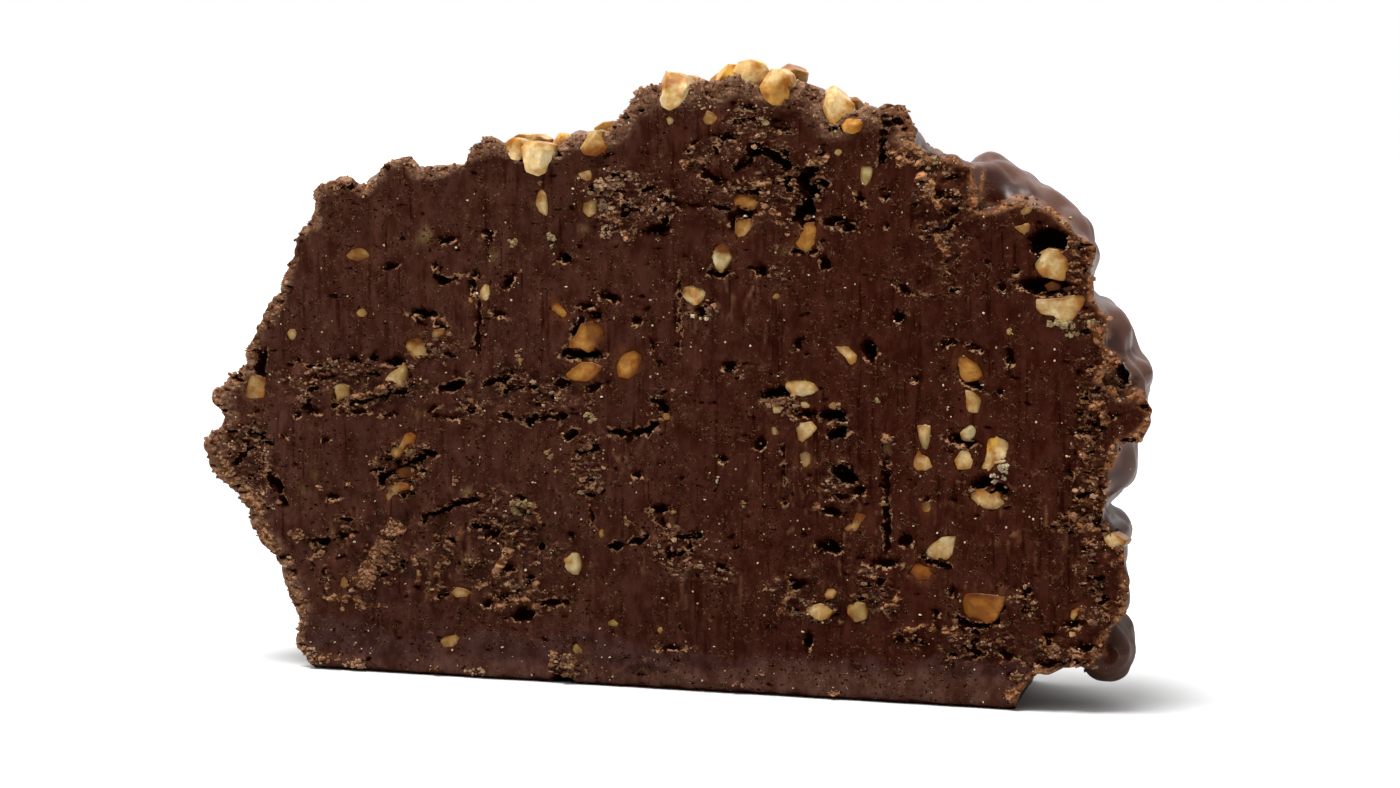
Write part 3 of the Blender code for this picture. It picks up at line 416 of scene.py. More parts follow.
# Plainer nuts in the cut: x, z, width, height, tone.
SMALL_CUT_NUTS = (
    (-51.1, 43.6, 1.7, 1.8, "pale"), (-41.2, 54.1, 3.8, 1.9, "tan"), (-32, 56.5, 3.2, 2.3, "dim"),
    (-22.1, 54.4, 1.9, 1.8, "dim"), (22, 10.7, 3.7, 2.2, "cream"), (23.3, 13.1, 2, 1.6, "cream"),
    (27.2, 11.1, 3, 2.7, "tan"), (18.7, 13.7, 2, 1.8, "dim"), (-11.3, 15.3, 2.8, 3.4, "pale"),
    (-26, 15, 2.1, 2.5, "dim"), (-26.8, 10.9, 3, 1.4, "tan"), (-28.5, 4.6, 3.1, 2.5, "tan"),
    (-44, 11.4, 1.8, 2.2, "tan"), (-5.7, 8, 1.8, 1.1, "greenish"), (-10.5, 4.3, 2.4, 1.8, "greenish"),
    (-7.2, 19.3, 0.9, 1.8, "tan"), (-26, 23.8, 2, 1.3, "dim"), (1.6, 34.4, 1.6, 1.1, "tan"),
    (31, 31.5, 1.6, 1.1, "dim"), (0.8, 7.4, 1, 0.9, "pale"), (56.6, 27.6, 0.9, 0.9, "pale"),
    (46.5, 46, 1, 1.6, "tan"), (-44.1, 7.9, 1, 1, "pale"), (24.4, 67.6, 1.3, 1.1, "pale"),
    (-19.3, 55.9, 1.1, 1.1, "tan"), (-40.9, 46.6, 1.8, 1.2, "tan"), (-9.6, 57.8, 1.8, 0.9, "dim"),
    (-16.6, 60.9, 0.8, 0.7, "dim"), (2.2, 71.5, 1.2, 1.4, "pale"), (-48, 25.2, 1.4, 1, "dim"),
    (-49.6, 23.4, 1.2, 1.4, "dim"), (-32.6, 34, 2.2, 0.9, "dim"), (24, 36.4, 1.6, 1, "tan"),
    (45.2, 2.7, 0.9, 1, "white"), (17.1, 55.4, 2, 0.9, "dim"), (16.2, 49.8, 1.4, 0.9, "tan"),
)

# Nuts on the front of the top: depth behind the cut, thickness, tone, other tone, its side, outline
# as seen from the front.
TOP_NUTS = (
    (-0.2, 4, "cream", "golden", 100, 0.4, 76.9, 1.5, 77.6, 3.2, 77.4, 4.3, 76.9, 4.9, 75.8, 4.5, 74.4,
     3.6, 73.3, 2.3, 72.7, 1.2, 73.2, 0.8, 74.8),
    (3.6, 3, "golden", "golden", 0, 3.8, 76.8, 4.6, 77.2, 5.4, 76.9, 6.2, 75.9, 5.6, 75.2, 4.3, 74.8),
    (2.6, 3.4, "yellow", "golden", -90, 7.8, 77, 8.6, 77.9, 9.9, 78.5, 11.6, 78.4, 11.8, 77, 10.5, 76.2,
     8.8, 75.7),
    (1, 4, "cream", "tan", -60, 10.8, 77.6, 11.3, 78.8, 13, 79.1, 14.6, 78.6, 15.5, 77.8, 15.8, 76.3,
     14.3, 75.2, 13.2, 76, 11.6, 76.3),
    (-0.4, 4, "golden", "cream", 80, 14.2, 75.6, 15, 76.9, 15.8, 77.9, 17.1, 77.9, 18.2, 77.1, 18.6, 75.5,
     18.1, 74.2, 17.2, 73.4, 16.1, 73.4, 15.1, 74.1),
    (3.6, 3.4, "tan", "orange", 90, 16.2, 78.2, 17, 78.7, 18.7, 78.2, 20.4, 77.4, 20, 76.4, 18.7, 75.1,
     17.4, 75.4, 16.7, 77),
    (0.2, 4, "cream", "golden", -110, 22.4, 75.2, 23.1, 76, 24, 75.6, 25, 74.5, 26.2, 73.6, 26.5, 72.4,
     25.7, 71.6, 24.5, 71, 23.3, 70.7, 22.8, 72.5),
    (2.6, 2.6, "amber", "orange", 60, 26.2, 74.2, 26.7, 74.5, 27.3, 73.9, 27.3, 72.2, 26.8, 71.4, 26, 72),
    (4.6, 2, "yellow", "cream", 0, 26.9, 73.2, 27.9, 73.7, 28.4, 73.1, 27.8, 72, 27, 72),
    (0, 2.4, "golden", "orange", 0, 25, 70.9, 25.6, 71.8, 26.9, 71.8, 27.8, 71.2, 27.3, 70.2, 26.4, 69.8,
     25.4, 70.2),
    (0.6, 3.4, "cream", "golden", 110, -20.3, 68.6, -19.2, 69.3, -17.9, 69, -17.3, 67.8, -18.2, 66.4,
     -19.6, 66.6),
    (-0.5, 3.6, "cream", "golden", 100, -18.1, 68, -16.9, 68.9, -15, 68.7, -13.4, 68.4, -13.5, 67, -14.4, 66,
     -14.8, 64.8, -16, 64.4, -17, 65, -17.5, 66.3),
    (4, 3.6, "golden", "cream", 0, -20, 68.9, -18.5, 69.7, -16, 69.7, -14.8, 69, -15.6, 67.8, -19, 67.8),
    (2, 3, "golden", "yellow", 90, -14, 68.9, -13.3, 69.9, -12.2, 69.7, -11.4, 68.8, -11.9, 67.6,
     -13.2, 67.5),
    (0, 3.6, "tan", "amber", -80, -10.2, 69, -9.4, 70.1, -7.5, 70.3, -5.8, 69.8, -5.5, 68.6, -6.2, 67.7,
     -7.4, 67, -9, 67.2, -9.9, 67.9),
    (4.6, 3, "golden", "amber", -90, -8.2, 70.5, -6.8, 71.3, -5.2, 71.4, -4.7, 70.3, -5.6, 69.2, -7.6, 69.2),
)

# Nuts behind them on the top, which the photograph hides: x, y, size.
TOP_NUTS_BEHIND = (
    (-25.5, 3, 3.8), (-21.5, 8, 4.2), (-18.6, 0.5, 3.6), (-16, 5.6, 4.4), (-13.2, 9.2, 3.4), (-10, 2.4, 3.8),
    (-8.6, 7.8, 4.4), (-5.4, 4.6, 3.2), (-3.6, 0, 4), (-2.2, 8.8, 3.6), (0.6, 4.2, 4.4), (3.4, 7.6, 3.4),
    (4.6, 1.2, 3.8), (7, 5, 4.2), (9.4, 9, 3.6), (11.2, 2.6, 4), (-23, -1.4, 3), (-19.6, 10.6, 2.8),
    (-13, -2.6, 3.2), (-11.8, 5.6, 2.6), (-6.4, 10.8, 2.8), (-0.8, 1.8, 2.8), (2.4, -3, 3.2),
    (4.8, 10.4, 2.6), (8.2, 1.4, 3), (12.6, 6.8, 3.2), (15, -1, 3.4),
)

# The back cut, which the photograph hides: nuts as x, z, width, height, and pits as on the front.
BACK_NUTS = (
    (-52, 30, 3.4, 2.8), (-47, 41, 2.8, 3), (-43.5, 19.5, 4.2, 3.2), (-41, 52, 3.2, 2.4),
    (-36.5, 33, 4.4, 3.4), (-33, 9.5, 3, 2.6), (-30, 58, 2.8, 2.8), (-27.5, 44.5, 4.6, 3),
    (-22, 24, 3.4, 3.8), (-17.5, 60.5, 3.8, 2.8), (-14, 36.5, 4, 3.4), (-10.5, 12, 3.2, 2.4),
    (-6, 50.5, 4.4, 3.6), (-1.5, 29, 3, 3.4), (2, 64.5, 3.6, 2.6), (6.5, 18, 4.2, 3), (11, 42.5, 3.4, 4),
    (14.5, 57, 3, 2.6), (20, 32, 4.6, 3.4), (23.5, 9, 2.8, 2.4), (28, 49.5, 3.8, 3.6), (33, 22.5, 3.4, 2.6),
    (37.5, 38.5, 4, 3.8), (42, 11.5, 3.6, 2.6), (46, 52, 3.2, 3), (51, 30.5, 4, 3.2),
)

BACK_PITS = (
    (-46, 27, 4.2, 1.7, 12, 2.6), (-38, 44.5, 3.4, 1.5, -16, 2.6), (-25, 34, 4.8, 1.9, 8, 2.6),
    (-17, 17, 3.6, 1.5, -20, 2.6), (-9, 61, 3.2, 1.5, 14, 2.6), (3, 38, 4.6, 1.8, -6, 2.6),
    (16, 23.5, 3.4, 1.5, 20, 2.6), (25, 62, 3, 1.4, -12, 2.6), (31, 33, 4.4, 1.8, 10, 2.6),
    (44, 43.5, 3.6, 1.6, -22, 2.6),
)

# Clusters of crumbs on the front cut: x, z, half width, half height, how many, size, tone.
CLUSTERS = (
    (-40.3, 12.4, 1.5, 1.1, 26, 0.9, "pink"), (-38.8, 14.5, 1.1, 1.1, 16, 0.9, "pink"),
    (-37.3, 16.5, 0.8, 1.1, 12, 0.9, "pink"), (-36.2, 18.4, 0.7, 0.6, 7, 0.8, "pink"),
    (-50.8, 17.2, 1.1, 0.9, 13, 0.9, "pink"), (-48, 14.7, 0.8, 0.8, 8, 0.8, "pink"),
    (52.2, 7.4, 1.1, 0.9, 20, 0.9, "pink"), (47.8, 4.1, 1.1, 0.6, 14, 0.9, "pink"),
    (55.8, 6.5, 0.8, 0.8, 9, 0.8, "pink"), (48.3, 2, 1.2, 1.2, 22, 0.8, "pink"),
    (53.5, 4.6, 2.8, 0.6, 26, 0.7, "brown"), (-18.6, 41.5, 0.5, 1.2, 11, 0.8, "pink"),
    (-27.6, 25.5, 0.3, 0.8, 5, 0.7, "pink"), (-6.8, 60.5, 1, 1.3, 44, 0.55, "sand"),
    (-6.6, 57.4, 1, 1, 34, 0.5, "sand"), (-6.3, 63.6, 1.7, 0.9, 44, 0.5, "sand"),
    (-3.4, 64.2, 1.7, 1, 40, 0.5, "sand"), (-0.6, 62.2, 3.4, 2.6, 60, 0.32, "sand"),
    (-3.9, 21, 0.4, 0.7, 6, 0.7, "tan"), (-14.5, 29.2, 0.4, 0.8, 6, 0.6, "tan"),
    (-13.7, 27, 0.2, 0.8, 4, 0.5, "tan"), (2.6, 37.2, 0.6, 0.8, 9, 0.7, "pink"),
    (31.3, 32.4, 0.9, 0.8, 14, 0.7, "pink"), (24.2, 36.3, 0.9, 0.6, 12, 0.8, "pink"),
    (29.6, 37.1, 0.7, 0.4, 5, 0.6, "pale"), (-48.3, 1.9, 0.9, 0.7, 18, 0.5, "sand"),
    (-42, 0.9, 1.4, 0.5, 26, 0.5, "sand"), (-45.2, 1.4, 0.9, 0.5, 8, 0.7, "pink"),
    (-30, 0.8, 1, 0.4, 6, 0.5, "pink"), (-24.6, 0.8, 1.6, 0.5, 20, 0.5, "sand"),
    (15, 13.5, 0.8, 0.8, 8, 0.6, "pink"), (11.5, 1.1, 0.8, 0.5, 6, 0.6, "pink"),
    (14.5, 2.5, 0.5, 0.5, 4, 0.6, "pink"), (24.6, 0.8, 1, 0.4, 6, 0.6, "pink"),
    (-12, 2.5, 2, 1.3, 30, 0.6, "brown"), (-11.8, 2.6, 1.8, 1.2, 12, 0.5, "pale"),
    (45.8, 29.1, 0.8, 1, 16, 0.7, "white"), (44.8, 28.2, 0.6, 0.5, 8, 0.6, "white"),
    (45.7, 27.1, 0.4, 0.4, 6, 0.5, "white"), (53.3, 47.2, 1.7, 0.6, 22, 0.7, "pale"),
    (54.4, 46.2, 0.9, 0.5, 10, 0.6, "pale"), (56.3, 47.5, 1.2, 0.3, 8, 0.6, "pale"),
    (-18.3, 22.2, 1.6, 0.9, 24, 0.8, "greenish"), (-14.2, 56.2, 0.6, 0.9, 12, 0.5, "pale"),
    (-13.9, 56.6, 0.5, 0.3, 5, 0.6, "pale"), (-19.4, 56, 0.6, 0.6, 7, 0.5, "pale"),
    (5.3, 47.4, 0.3, 0.3, 3, 0.6, "white"), (6.6, 46.8, 0.6, 0.2, 4, 0.5, "white"),
    (-9, 34.3, 1.1, 0.4, 9, 0.6, "cream"), (-8.5, 33.6, 0.3, 0.5, 5, 0.6, "cream"),
    (16.4, 36.9, 1.3, 0.7, 14, 0.8, "brown"), (-28.9, 40.3, 0.4, 0.3, 4, 0.6, "pink"),
    (-42.6, 34.6, 0.5, 0.4, 5, 0.6, "pink"), (-39.6, 27.2, 0.8, 0.5, 8, 0.7, "pink"),
    (-31.7, 29.7, 0.6, 0.4, 6, 0.7, "pink"), (-34.4, 28.8, 0.8, 0.6, 8, 0.7, "tan"),
    (-46.9, 23.7, 0.5, 0.5, 6, 0.7, "pink"), (-42.9, 24, 0.5, 0.4, 5, 0.6, "pink"),
    (-55.6, 24.9, 0.5, 0.4, 5, 0.6, "pink"), (22, 23.8, 0.5, 0.4, 6, 0.6, "pink"),
    (2.4, 22.6, 0.4, 0.4, 5, 0.6, "tan"), (-0.4, 22.3, 0.3, 0.5, 4, 0.5, "tan"),
    (11.9, 23.7, 0.3, 0.6, 5, 0.5, "tan"), (8.6, 26.8, 0.2, 0.4, 3, 0.5, "white"),
    (54.5, 57.2, 1, 1.8, 16, 0.7, "brown"), (13, 72.2, 2.8, 1.8, 60, 0.3, "sand"),
    (6, 73.6, 2.6, 1, 36, 0.32, "sand"), (24.4, 70.4, 1.6, 0.8, 16, 0.36, "cream"),
    (36.4, 66.4, 0.8, 0.8, 8, 0.6, "pale"), (33, 68, 3, 1.2, 20, 0.7, "brown"),
    (59.3, 43, 1.4, 0.5, 9, 0.8, "orange"), (-15.5, 63.6, 0.5, 0.5, 4, 0.5, "brown"),
    (-8.3, 62.6, 0.6, 0.5, 7, 0.6, "cream"), (53, 22.6, 1, 0.8, 12, 0.7, "brown"),
    (47, 13.6, 0.4, 0.5, 4, 0.6, "brown"), (-20, 12, 0.6, 2, 12, 0.7, "rust"),
    (-16.5, 11.6, 0.6, 1, 9, 0.7, "rust"), (-15.6, 9.4, 1.4, 0.6, 12, 0.7, "rust"),
    (-21.4, 9.2, 0.8, 0.6, 8, 0.7, "rust"), (-31.5, 12, 0.7, 0.5, 6, 0.7, "rust"),
    (-46.2, 10.6, 0.4, 0.8, 5, 0.7, "rust"), (-39.6, 8.5, 2.2, 0.4, 12, 0.6, "rust"),
)


def rise(low, high, value):
    """0 below low and 1 above high with a smooth step between; a fall where low is the larger."""
    share = np.clip((value - low) / (high - low), 0.0, 1.0)
    return share * share * (3.0 - 2.0 * share)


def mixed(first, second, share):
    """Colours or numbers blended row by row."""
    share = np.asarray(share)[..., None]
    return np.asarray(first) * (1.0 - share) + np.asarray(second) * share


def field(points, span, shift=0.0, octaves=1):
    """Smooth noise at each point, about -1 to 1; span may differ by axis."""
    scaled = (points / np.asarray(span, float) + shift).tolist()
    if octaves == 1:
        return np.array([noise.noise(place) for place in scaled])
    return np.array([noise.fractal(place, 1.0, 2.0, octaves) for place in scaled])


def grains(points, span):
    """For each point the height of the round grain it is on, 0 to 1, and that grain's own number."""
    away = np.empty(len(points))
    own = np.empty(len(points))
    for index, place in enumerate((points / np.asarray(span, float)).tolist()):
        distances, centres = noise.voronoi(place)
        away[index] = distances[0]
        own[index] = centres[0].x * 12.9898 + centres[0].y * 78.233 + centres[0].z * 37.719
    return np.sqrt(np.clip(1.0 - (away / 0.8) ** 2, 0.0, 1.0)), np.modf(np.abs(np.sin(own) * 437.585))[0]


def distance_to_line(x, z, line, closed=False):
    """How far points are from a line of straight runs."""
    nearest = np.full(len(x), 1e9)
    for (ax, az), (bx, bz) in zip(line, line[1:] + (line[:1] if closed else ())):
        run_x, run_z = bx - ax, bz - az
        along = ((x - ax) * run_x + (z - az) * run_z) / (run_x * run_x + run_z * run_z)
        along = np.clip(along, 0.0, 1.0)
        nearest = np.minimum(nearest, np.hypot(x - ax - along * run_x, z - az - along * run_z))
    return nearest


def inside(x, z, line):
    """Whether points are inside a closed outline."""
    found = np.zeros(len(x), bool)
    for (ax, az), (bx, bz) in zip(line, line[1:] + line[:1]):
        if az != bz:
            crosses = (az > z) != (bz > z)
            found ^= crosses & (x < ax + (bx - ax) * (z - az) / (bz - az))
    return found


def stretches(x, z, zones, low=0.6, high=1.15, weighed=False):
    """How much each point is in one of the round stretches."""
    share = np.zeros(len(x))
    for centre_x, centre_z, wide, tall, *weight in zones:
        reach = np.hypot((x - centre_x) / wide, (z - centre_z) / tall)
        strength = weight[0] if weighed else 1.0
        share = np.maximum(share, strength * (1.0 - rise(low, high, reach)))
    return share


def face_out(points, facing):
    """How far the plain cut stands out of its plane, as in the solid."""
    x, z = points[:, 0], points[:, 2]
    along_knife = np.stack([x, np.full(len(x), facing * THICKNESS), z / 4.0], 1)
    wave = KNIFE_WAVE * field(along_knife, KNIFE_WAVE_SPAN)
    rough = CRUMBLE * stretches(x * -facing, z, CRUMBLY) * (field(points, CRUMBLE_SPAN) - 0.1)
    return wave + rough + BASE_LAYER_FLARE * (1.0 - rise(0.0, BASE_LAYER_TOP, z))


def pits_at(x, z, pits):
    """Depth of the pits at each point, how far it is outside the nearest one, how much it is below it."""
    depth, below, nearest = np.zeros(len(x)), np.zeros(len(x)), np.full(len(x), 2.0)
    for centre_x, centre_z, wide, tall, lean, deep in pits:
        near_x, near_z = np.abs(x - centre_x) < wide + 1.0, np.abs(z - centre_z) < wide + tall + 1.0
        near = np.flatnonzero(near_x & near_z)
        turn = math.radians(lean)
        dx, dz = x[near] - centre_x, z[near] - centre_z
        along = (dx * math.cos(turn) + dz * math.sin(turn)) / (wide / 2)
        across = (-dx * math.sin(turn) + dz * math.cos(turn)) / (tall / 2)
        outside = (np.hypot(along, across) - 1.0) * min(wide, tall) / 2
        depth[near] = np.maximum(depth[near], deep * (1.0 - rise(-0.32, 0.04, outside)))
        below[near] = np.where(outside < nearest[near], rise(0.3, -0.7, across), below[near])
        nearest[near] = np.minimum(nearest[near], outside)
    return depth, nearest, below


def lines_at(x, z, lines, swell):
    """Depth of the cracks or height of the ridges, and how far a point is outside the nearest."""
    depth, nearest = np.zeros(len(x)), np.full(len(x), 2.0)
    for wide, deep, *line in lines:
        outside = distance_to_line(x, z, paired(line)) - wide / 2 * swell
        depth = np.maximum(depth, deep * (1.0 - rise(-0.5 * wide, 0.05, outside)))
        nearest = np.minimum(nearest, outside + max(0.0, 0.8 - deep) * 0.5)
    return depth, nearest


def flakes_at(x, z, swell):
    """How far inside the nearest torn flake each point is, in millimetres, negative outside."""
    within = np.full(len(x), NO_FLAKE)
    for centre_x, centre_z, wide, tall, _, _, tone in CLUSTERS:
        if tone in FLAKY_TONES:
            near = np.flatnonzero((np.abs(x - centre_x) < wide + 1.5) & (np.abs(z - centre_z) < tall + 1.5))
            reach = np.hypot((x[near] - centre_x) / wide, (z[near] - centre_z) / tall)
            within[near] = np.maximum(within[near], (0.65 * swell[near] - reach) * min(wide, tall))
    for wide, *line in FLAKES:
        within = np.maximum(within, wide / 2 * swell - distance_to_line(x, z, paired(line)))
    return within


def nuts_at(x, z, gap, nuts):
    """Depth of the sockets, the fat-soaked ring round each nut, and nuts smeared over with fudge."""
    depth, ring, smear = np.zeros((3, len(x)))
    for outline, tone, _, _, level in nuts:
        (low_x, low_z), (high_x, high_z) = np.min(outline, 0) - 1.2, np.max(outline, 0) + 1.2
        near = np.flatnonzero((x > low_x) & (x < high_x) & (z > low_z) & (z < high_z))
        away = distance_to_line(x[near], z[near], outline, closed=True)
        away = np.where(inside(x[near], z[near], outline), -away, away)
        if tone == "dim":
            smear[near] = np.maximum(smear[near], 1.0 - rise(-0.55, 0.35, away))
            continue
        deep = (0.8 + max(0.0, -level)) * (1.0 - rise(-0.3, 0.0, away - gap[near]))
        depth[near] = np.maximum(depth[near], deep)
        oily = 1.0 if tone in OILY_TONES else 0.5
        ring[near] = np.maximum(ring[near], oily * (1.0 - rise(0.1, 0.9, away)))
    return depth, ring, smear


def blob(rng, x, z, wide, tall, even=1.0):
    """An outline of the given size for a plain nut, the more uneven the less even is."""
    count = rng.randint(6, 8) if even == 1.0 else rng.randint(4, 7)
    start = 0.0 if even == 1.0 else rng.random()
    points = []
    for index in range(count):
        turn = (start + index + rng.uniform(-0.22, 0.22) / even) * 2.0 * math.pi / count
        reach = rng.uniform(1.0 - 0.14 / even, 1.08)
        points.append((x + reach * wide / 2 * math.cos(turn), z - reach * tall / 2 * math.sin(turn)))
    return tuple(points)


def scatter(rng, count, taken, low, high):
    """More places on the back cut, inside the mirrored outline and clear of what is there."""
    taken = [(row[0], row[1], max(row[2:4])) for row in taken]
    found = []
    while len(found) < count:
        x, z, size = rng.uniform(-60, 60), rng.uniform(3, 72), low + (high - low) * rng.random() ** 1.6
        spot = np.array([-x]), np.array([z])
        edge = distance_to_line(*spot, OUTLINE, closed=True)[0]
        if not inside(*spot, OUTLINE)[0] or edge < size / 2 + 2.0:
            continue
        if all(math.hypot(x - other[0], z - other[1]) > 0.6 * (size + other[2]) for other in taken):
            taken.append((x, z, size))
            found.append((x, z, size))
    return found


def all_cut_nuts():
    """Outline, tone, other tone, its side and level of every nut of the front and back cuts."""
    rng = random.Random(3)
    front = [(paired(line), tone, other, side, level) for tone, other, side, level, *line in CUT_NUTS]
    for x, z, wide, tall, tone in SMALL_CUT_NUTS:
        front.append((blob(rng, x, z, wide, tall), tone, tone, 0, -0.05 if tone == "dim" else 0.15))
    scattered = tuple((x, z, size * rng.uniform(0.9, 1.3), size * rng.uniform(0.7, 1.0))
                      for x, z, size in scatter(rng, MORE_BACK_NUTS, BACK_NUTS, 1.0, 3.4))
    back = []
    for x, z, wide, tall in BACK_NUTS + scattered:
        tone, other = rng.choice(BACK_TONES)
        outline = blob(rng, x, z, wide * 1.15, tall * 1.1, 0.6)
        back.append((outline, tone, other, rng.uniform(0, 360), rng.uniform(0.0, 0.35)))
    return front, back


def back_pits():
    """The back cut's pits: those of the list, and small ones strewn between them."""
    rng = random.Random(8)
    return BACK_PITS + tuple((x, z, size, rng.uniform(0.5, 0.9), rng.uniform(-30, 30), 1.3)
                             for x, z, size in scatter(rng, MORE_BACK_PITS, BACK_NUTS + BACK_PITS, 0.9, 2.6))


def link(item):
    bpy.context.scene.collection.objects.link(item)
    return item


def slab_with_lobes():
    """The outline drawn through the slice's thickness, and the skin's lobes."""
    curve = bpy.data.curves.new("outline", "CURVE")
    curve.dimensions = "2D"
    curve.fill_mode = "BOTH"
    curve.extrude = THICKNESS / 2
    spline = curve.splines.new("POLY")
    spline.points.add(len(OUTLINE) - 1)
    spline.use_cyclic_u = True
    for point, (x, z) in zip(spline.points, OUTLINE):
        point.co = (x, z, 0.0, 1.0)
    outline = link(bpy.data.objects.new("outline", curve))
    slab = bpy.data.meshes.new_from_object(outline.evaluated_get(bpy.context.evaluated_depsgraph_get()))
    bpy.data.objects.remove(outline, do_unlink=True)
    slab.transform(Matrix.Rotation(math.pi / 2, 4, "X"))
    bm = bmesh.new()
    bm.from_mesh(slab)
    bmesh.ops.remove_doubles(bm, verts=bm.verts, dist=0.0001)
    for x, y, z, *radii in SKIN_LOBES:
        place = Matrix.LocRotScale(Vector((x, y, z)), None, Vector(radii))
        bmesh.ops.create_icosphere(bm, subdivisions=5, radius=1.0, matrix=place)
    bm.to_mesh(slab)
    bm.free()
    return slab


def with_modifier(item, kind, weights, **settings):
    """The object changed by one modifier; weights are indices and how much each is changed."""
    modifier = item.modifiers.new(kind, kind)
    if weights:
        group = item.vertex_groups.new(name=kind)
        modifier.vertex_group = group.name
        for indices, weight in weights:
            group.add(indices.tolist(), weight, "REPLACE")
    for name, value in settings.items():
        setattr(modifier, name, value)
    made = bpy.data.meshes.new_from_object(item.evaluated_get(bpy.context.evaluated_depsgraph_get()))
    item.modifiers.clear()
    item.data = made
    item.vertex_groups.clear()


def vertex_array(mesh, name="vertices"):
    values = np.empty(len(mesh.vertices) * 3)
    getattr(mesh, name).foreach_get("co" if name == "vertices" else "vector", values)
    return values.reshape(-1, 3)


def side_places(points):
    """How the plain slab's sides grow and draw in, and how much of them is torn rim."""
    x, y, z = points.T
    behind = (y - FRONT) / THICKNESS
    lifted = rise(0.5, 4.0, z)
    right_end = rise(28.0, 40.0, x)
    draw_in = RIGHT_END_TAPER * behind * rise(*RIGHT_END, x)
    shoulder = 1.0 - rise(0.0, SHOULDER_REACH, np.abs(x - SHOULDER_X))
    draw_down = (TOP_TAPER + SHOULDER_TAPER * shoulder) * behind * rise(20.0, 75.0, z)
    calm = 1.0 - RIGHT_END_CALM * right_end
    lump = SKIN_LUMP * calm * (np.abs(field(points, SKIN_LUMP_SPAN)) * 2.0 - 0.5)
    away_from_cut = rise(0.0, 5.0, y - FRONT) * rise(0.0, 4.0, BACK - y)
    crag = RIM_GROWTH * (1.0 - right_end) + RIM_CRAG * field(points, RIM_CRAG_SPAN)
    wide_rim = 1.0 - 0.5 * right_end
    from_cut = np.minimum(y - FRONT, BACK - y) + 0.9 * field(points, 1.7, 5.0)
    rim = 1.0 - rise(0.5 * wide_rim, 1.9 * wide_rim, from_cut)
    creased = 0.75 * np.abs(field(points, (4.2, 3.6, 4.6), 9.0))
    creased += (0.35 - 0.27 * right_end) * np.abs(field(points, 2.0, 19.0))
    wrinkle = (creased - 0.22 + 0.06 * right_end) * (1.0 - rim)
    grown = lifted * (lump * away_from_cut + crag * (1.0 - away_from_cut) + wrinkle)
    return grown, draw_in, draw_down, rim, lifted


def cut_colours(here, side_x, z, drawn, marks):
    """Colours of a cut; marks are the shares of each point that the fudge's features take up."""
    crumbly, tone, rim, rim_tint, ring, smear, drag, base, dark = marks
    right_side = rise(28.0, 42.0, here[:, 0])
    smooth = mixed(SMOOTH_LEFT, SMOOTH_RIGHT, rise(-25.0, 30.0, side_x))
    smooth = smooth * (1.0 + 0.07 * drawn + 0.14 * field(here, 13.0))[:, None]
    smooth = mixed(smooth, smooth * LEFT_END_PALER, rise(-42.0, -58.0, side_x))
    strip = z + 1.4 * field(here, (6.0, 6.0, 3.0), 35.0) - 1.6 * rise(0.0, 25.0, here[:, 0])
    band, lowest = np.multiply(BASE_LAYER, BASE_BAND), np.multiply(BASE_LAYER, BASE_STRIP)
    layer = mixed(band, lowest, rise(3.0, 1.9, strip))
    smooth = mixed(smooth, layer, base * 0.85)
    smooth = mixed(smooth, SMEARED, smear * (0.7 + 0.4 * drawn))
    shown = mixed(smooth, CRUMB_MID, crumbly * (0.25 + 0.4 * tone) * (1.0 - smear))
    shown = mixed(shown, rim_tint, rim * (0.45 + 0.45 * right_side))
    shown = mixed(shown, FAT_RING, ring * 0.6)
    dragged = np.clip(0.6 * drag * (0.4 + 0.6 * tone), 0.0, 0.8)
    shown = mixed(shown, mixed(LIP, LIP_RIGHT, right_side), dragged)
    # dark is painted shade: darker in the pits, cracks and nut sockets, and a painted contact shadow along
    # the bottom edge.
    return shown * np.exp(np.outer(-dark, (1.0, 1.5, 1.7)))


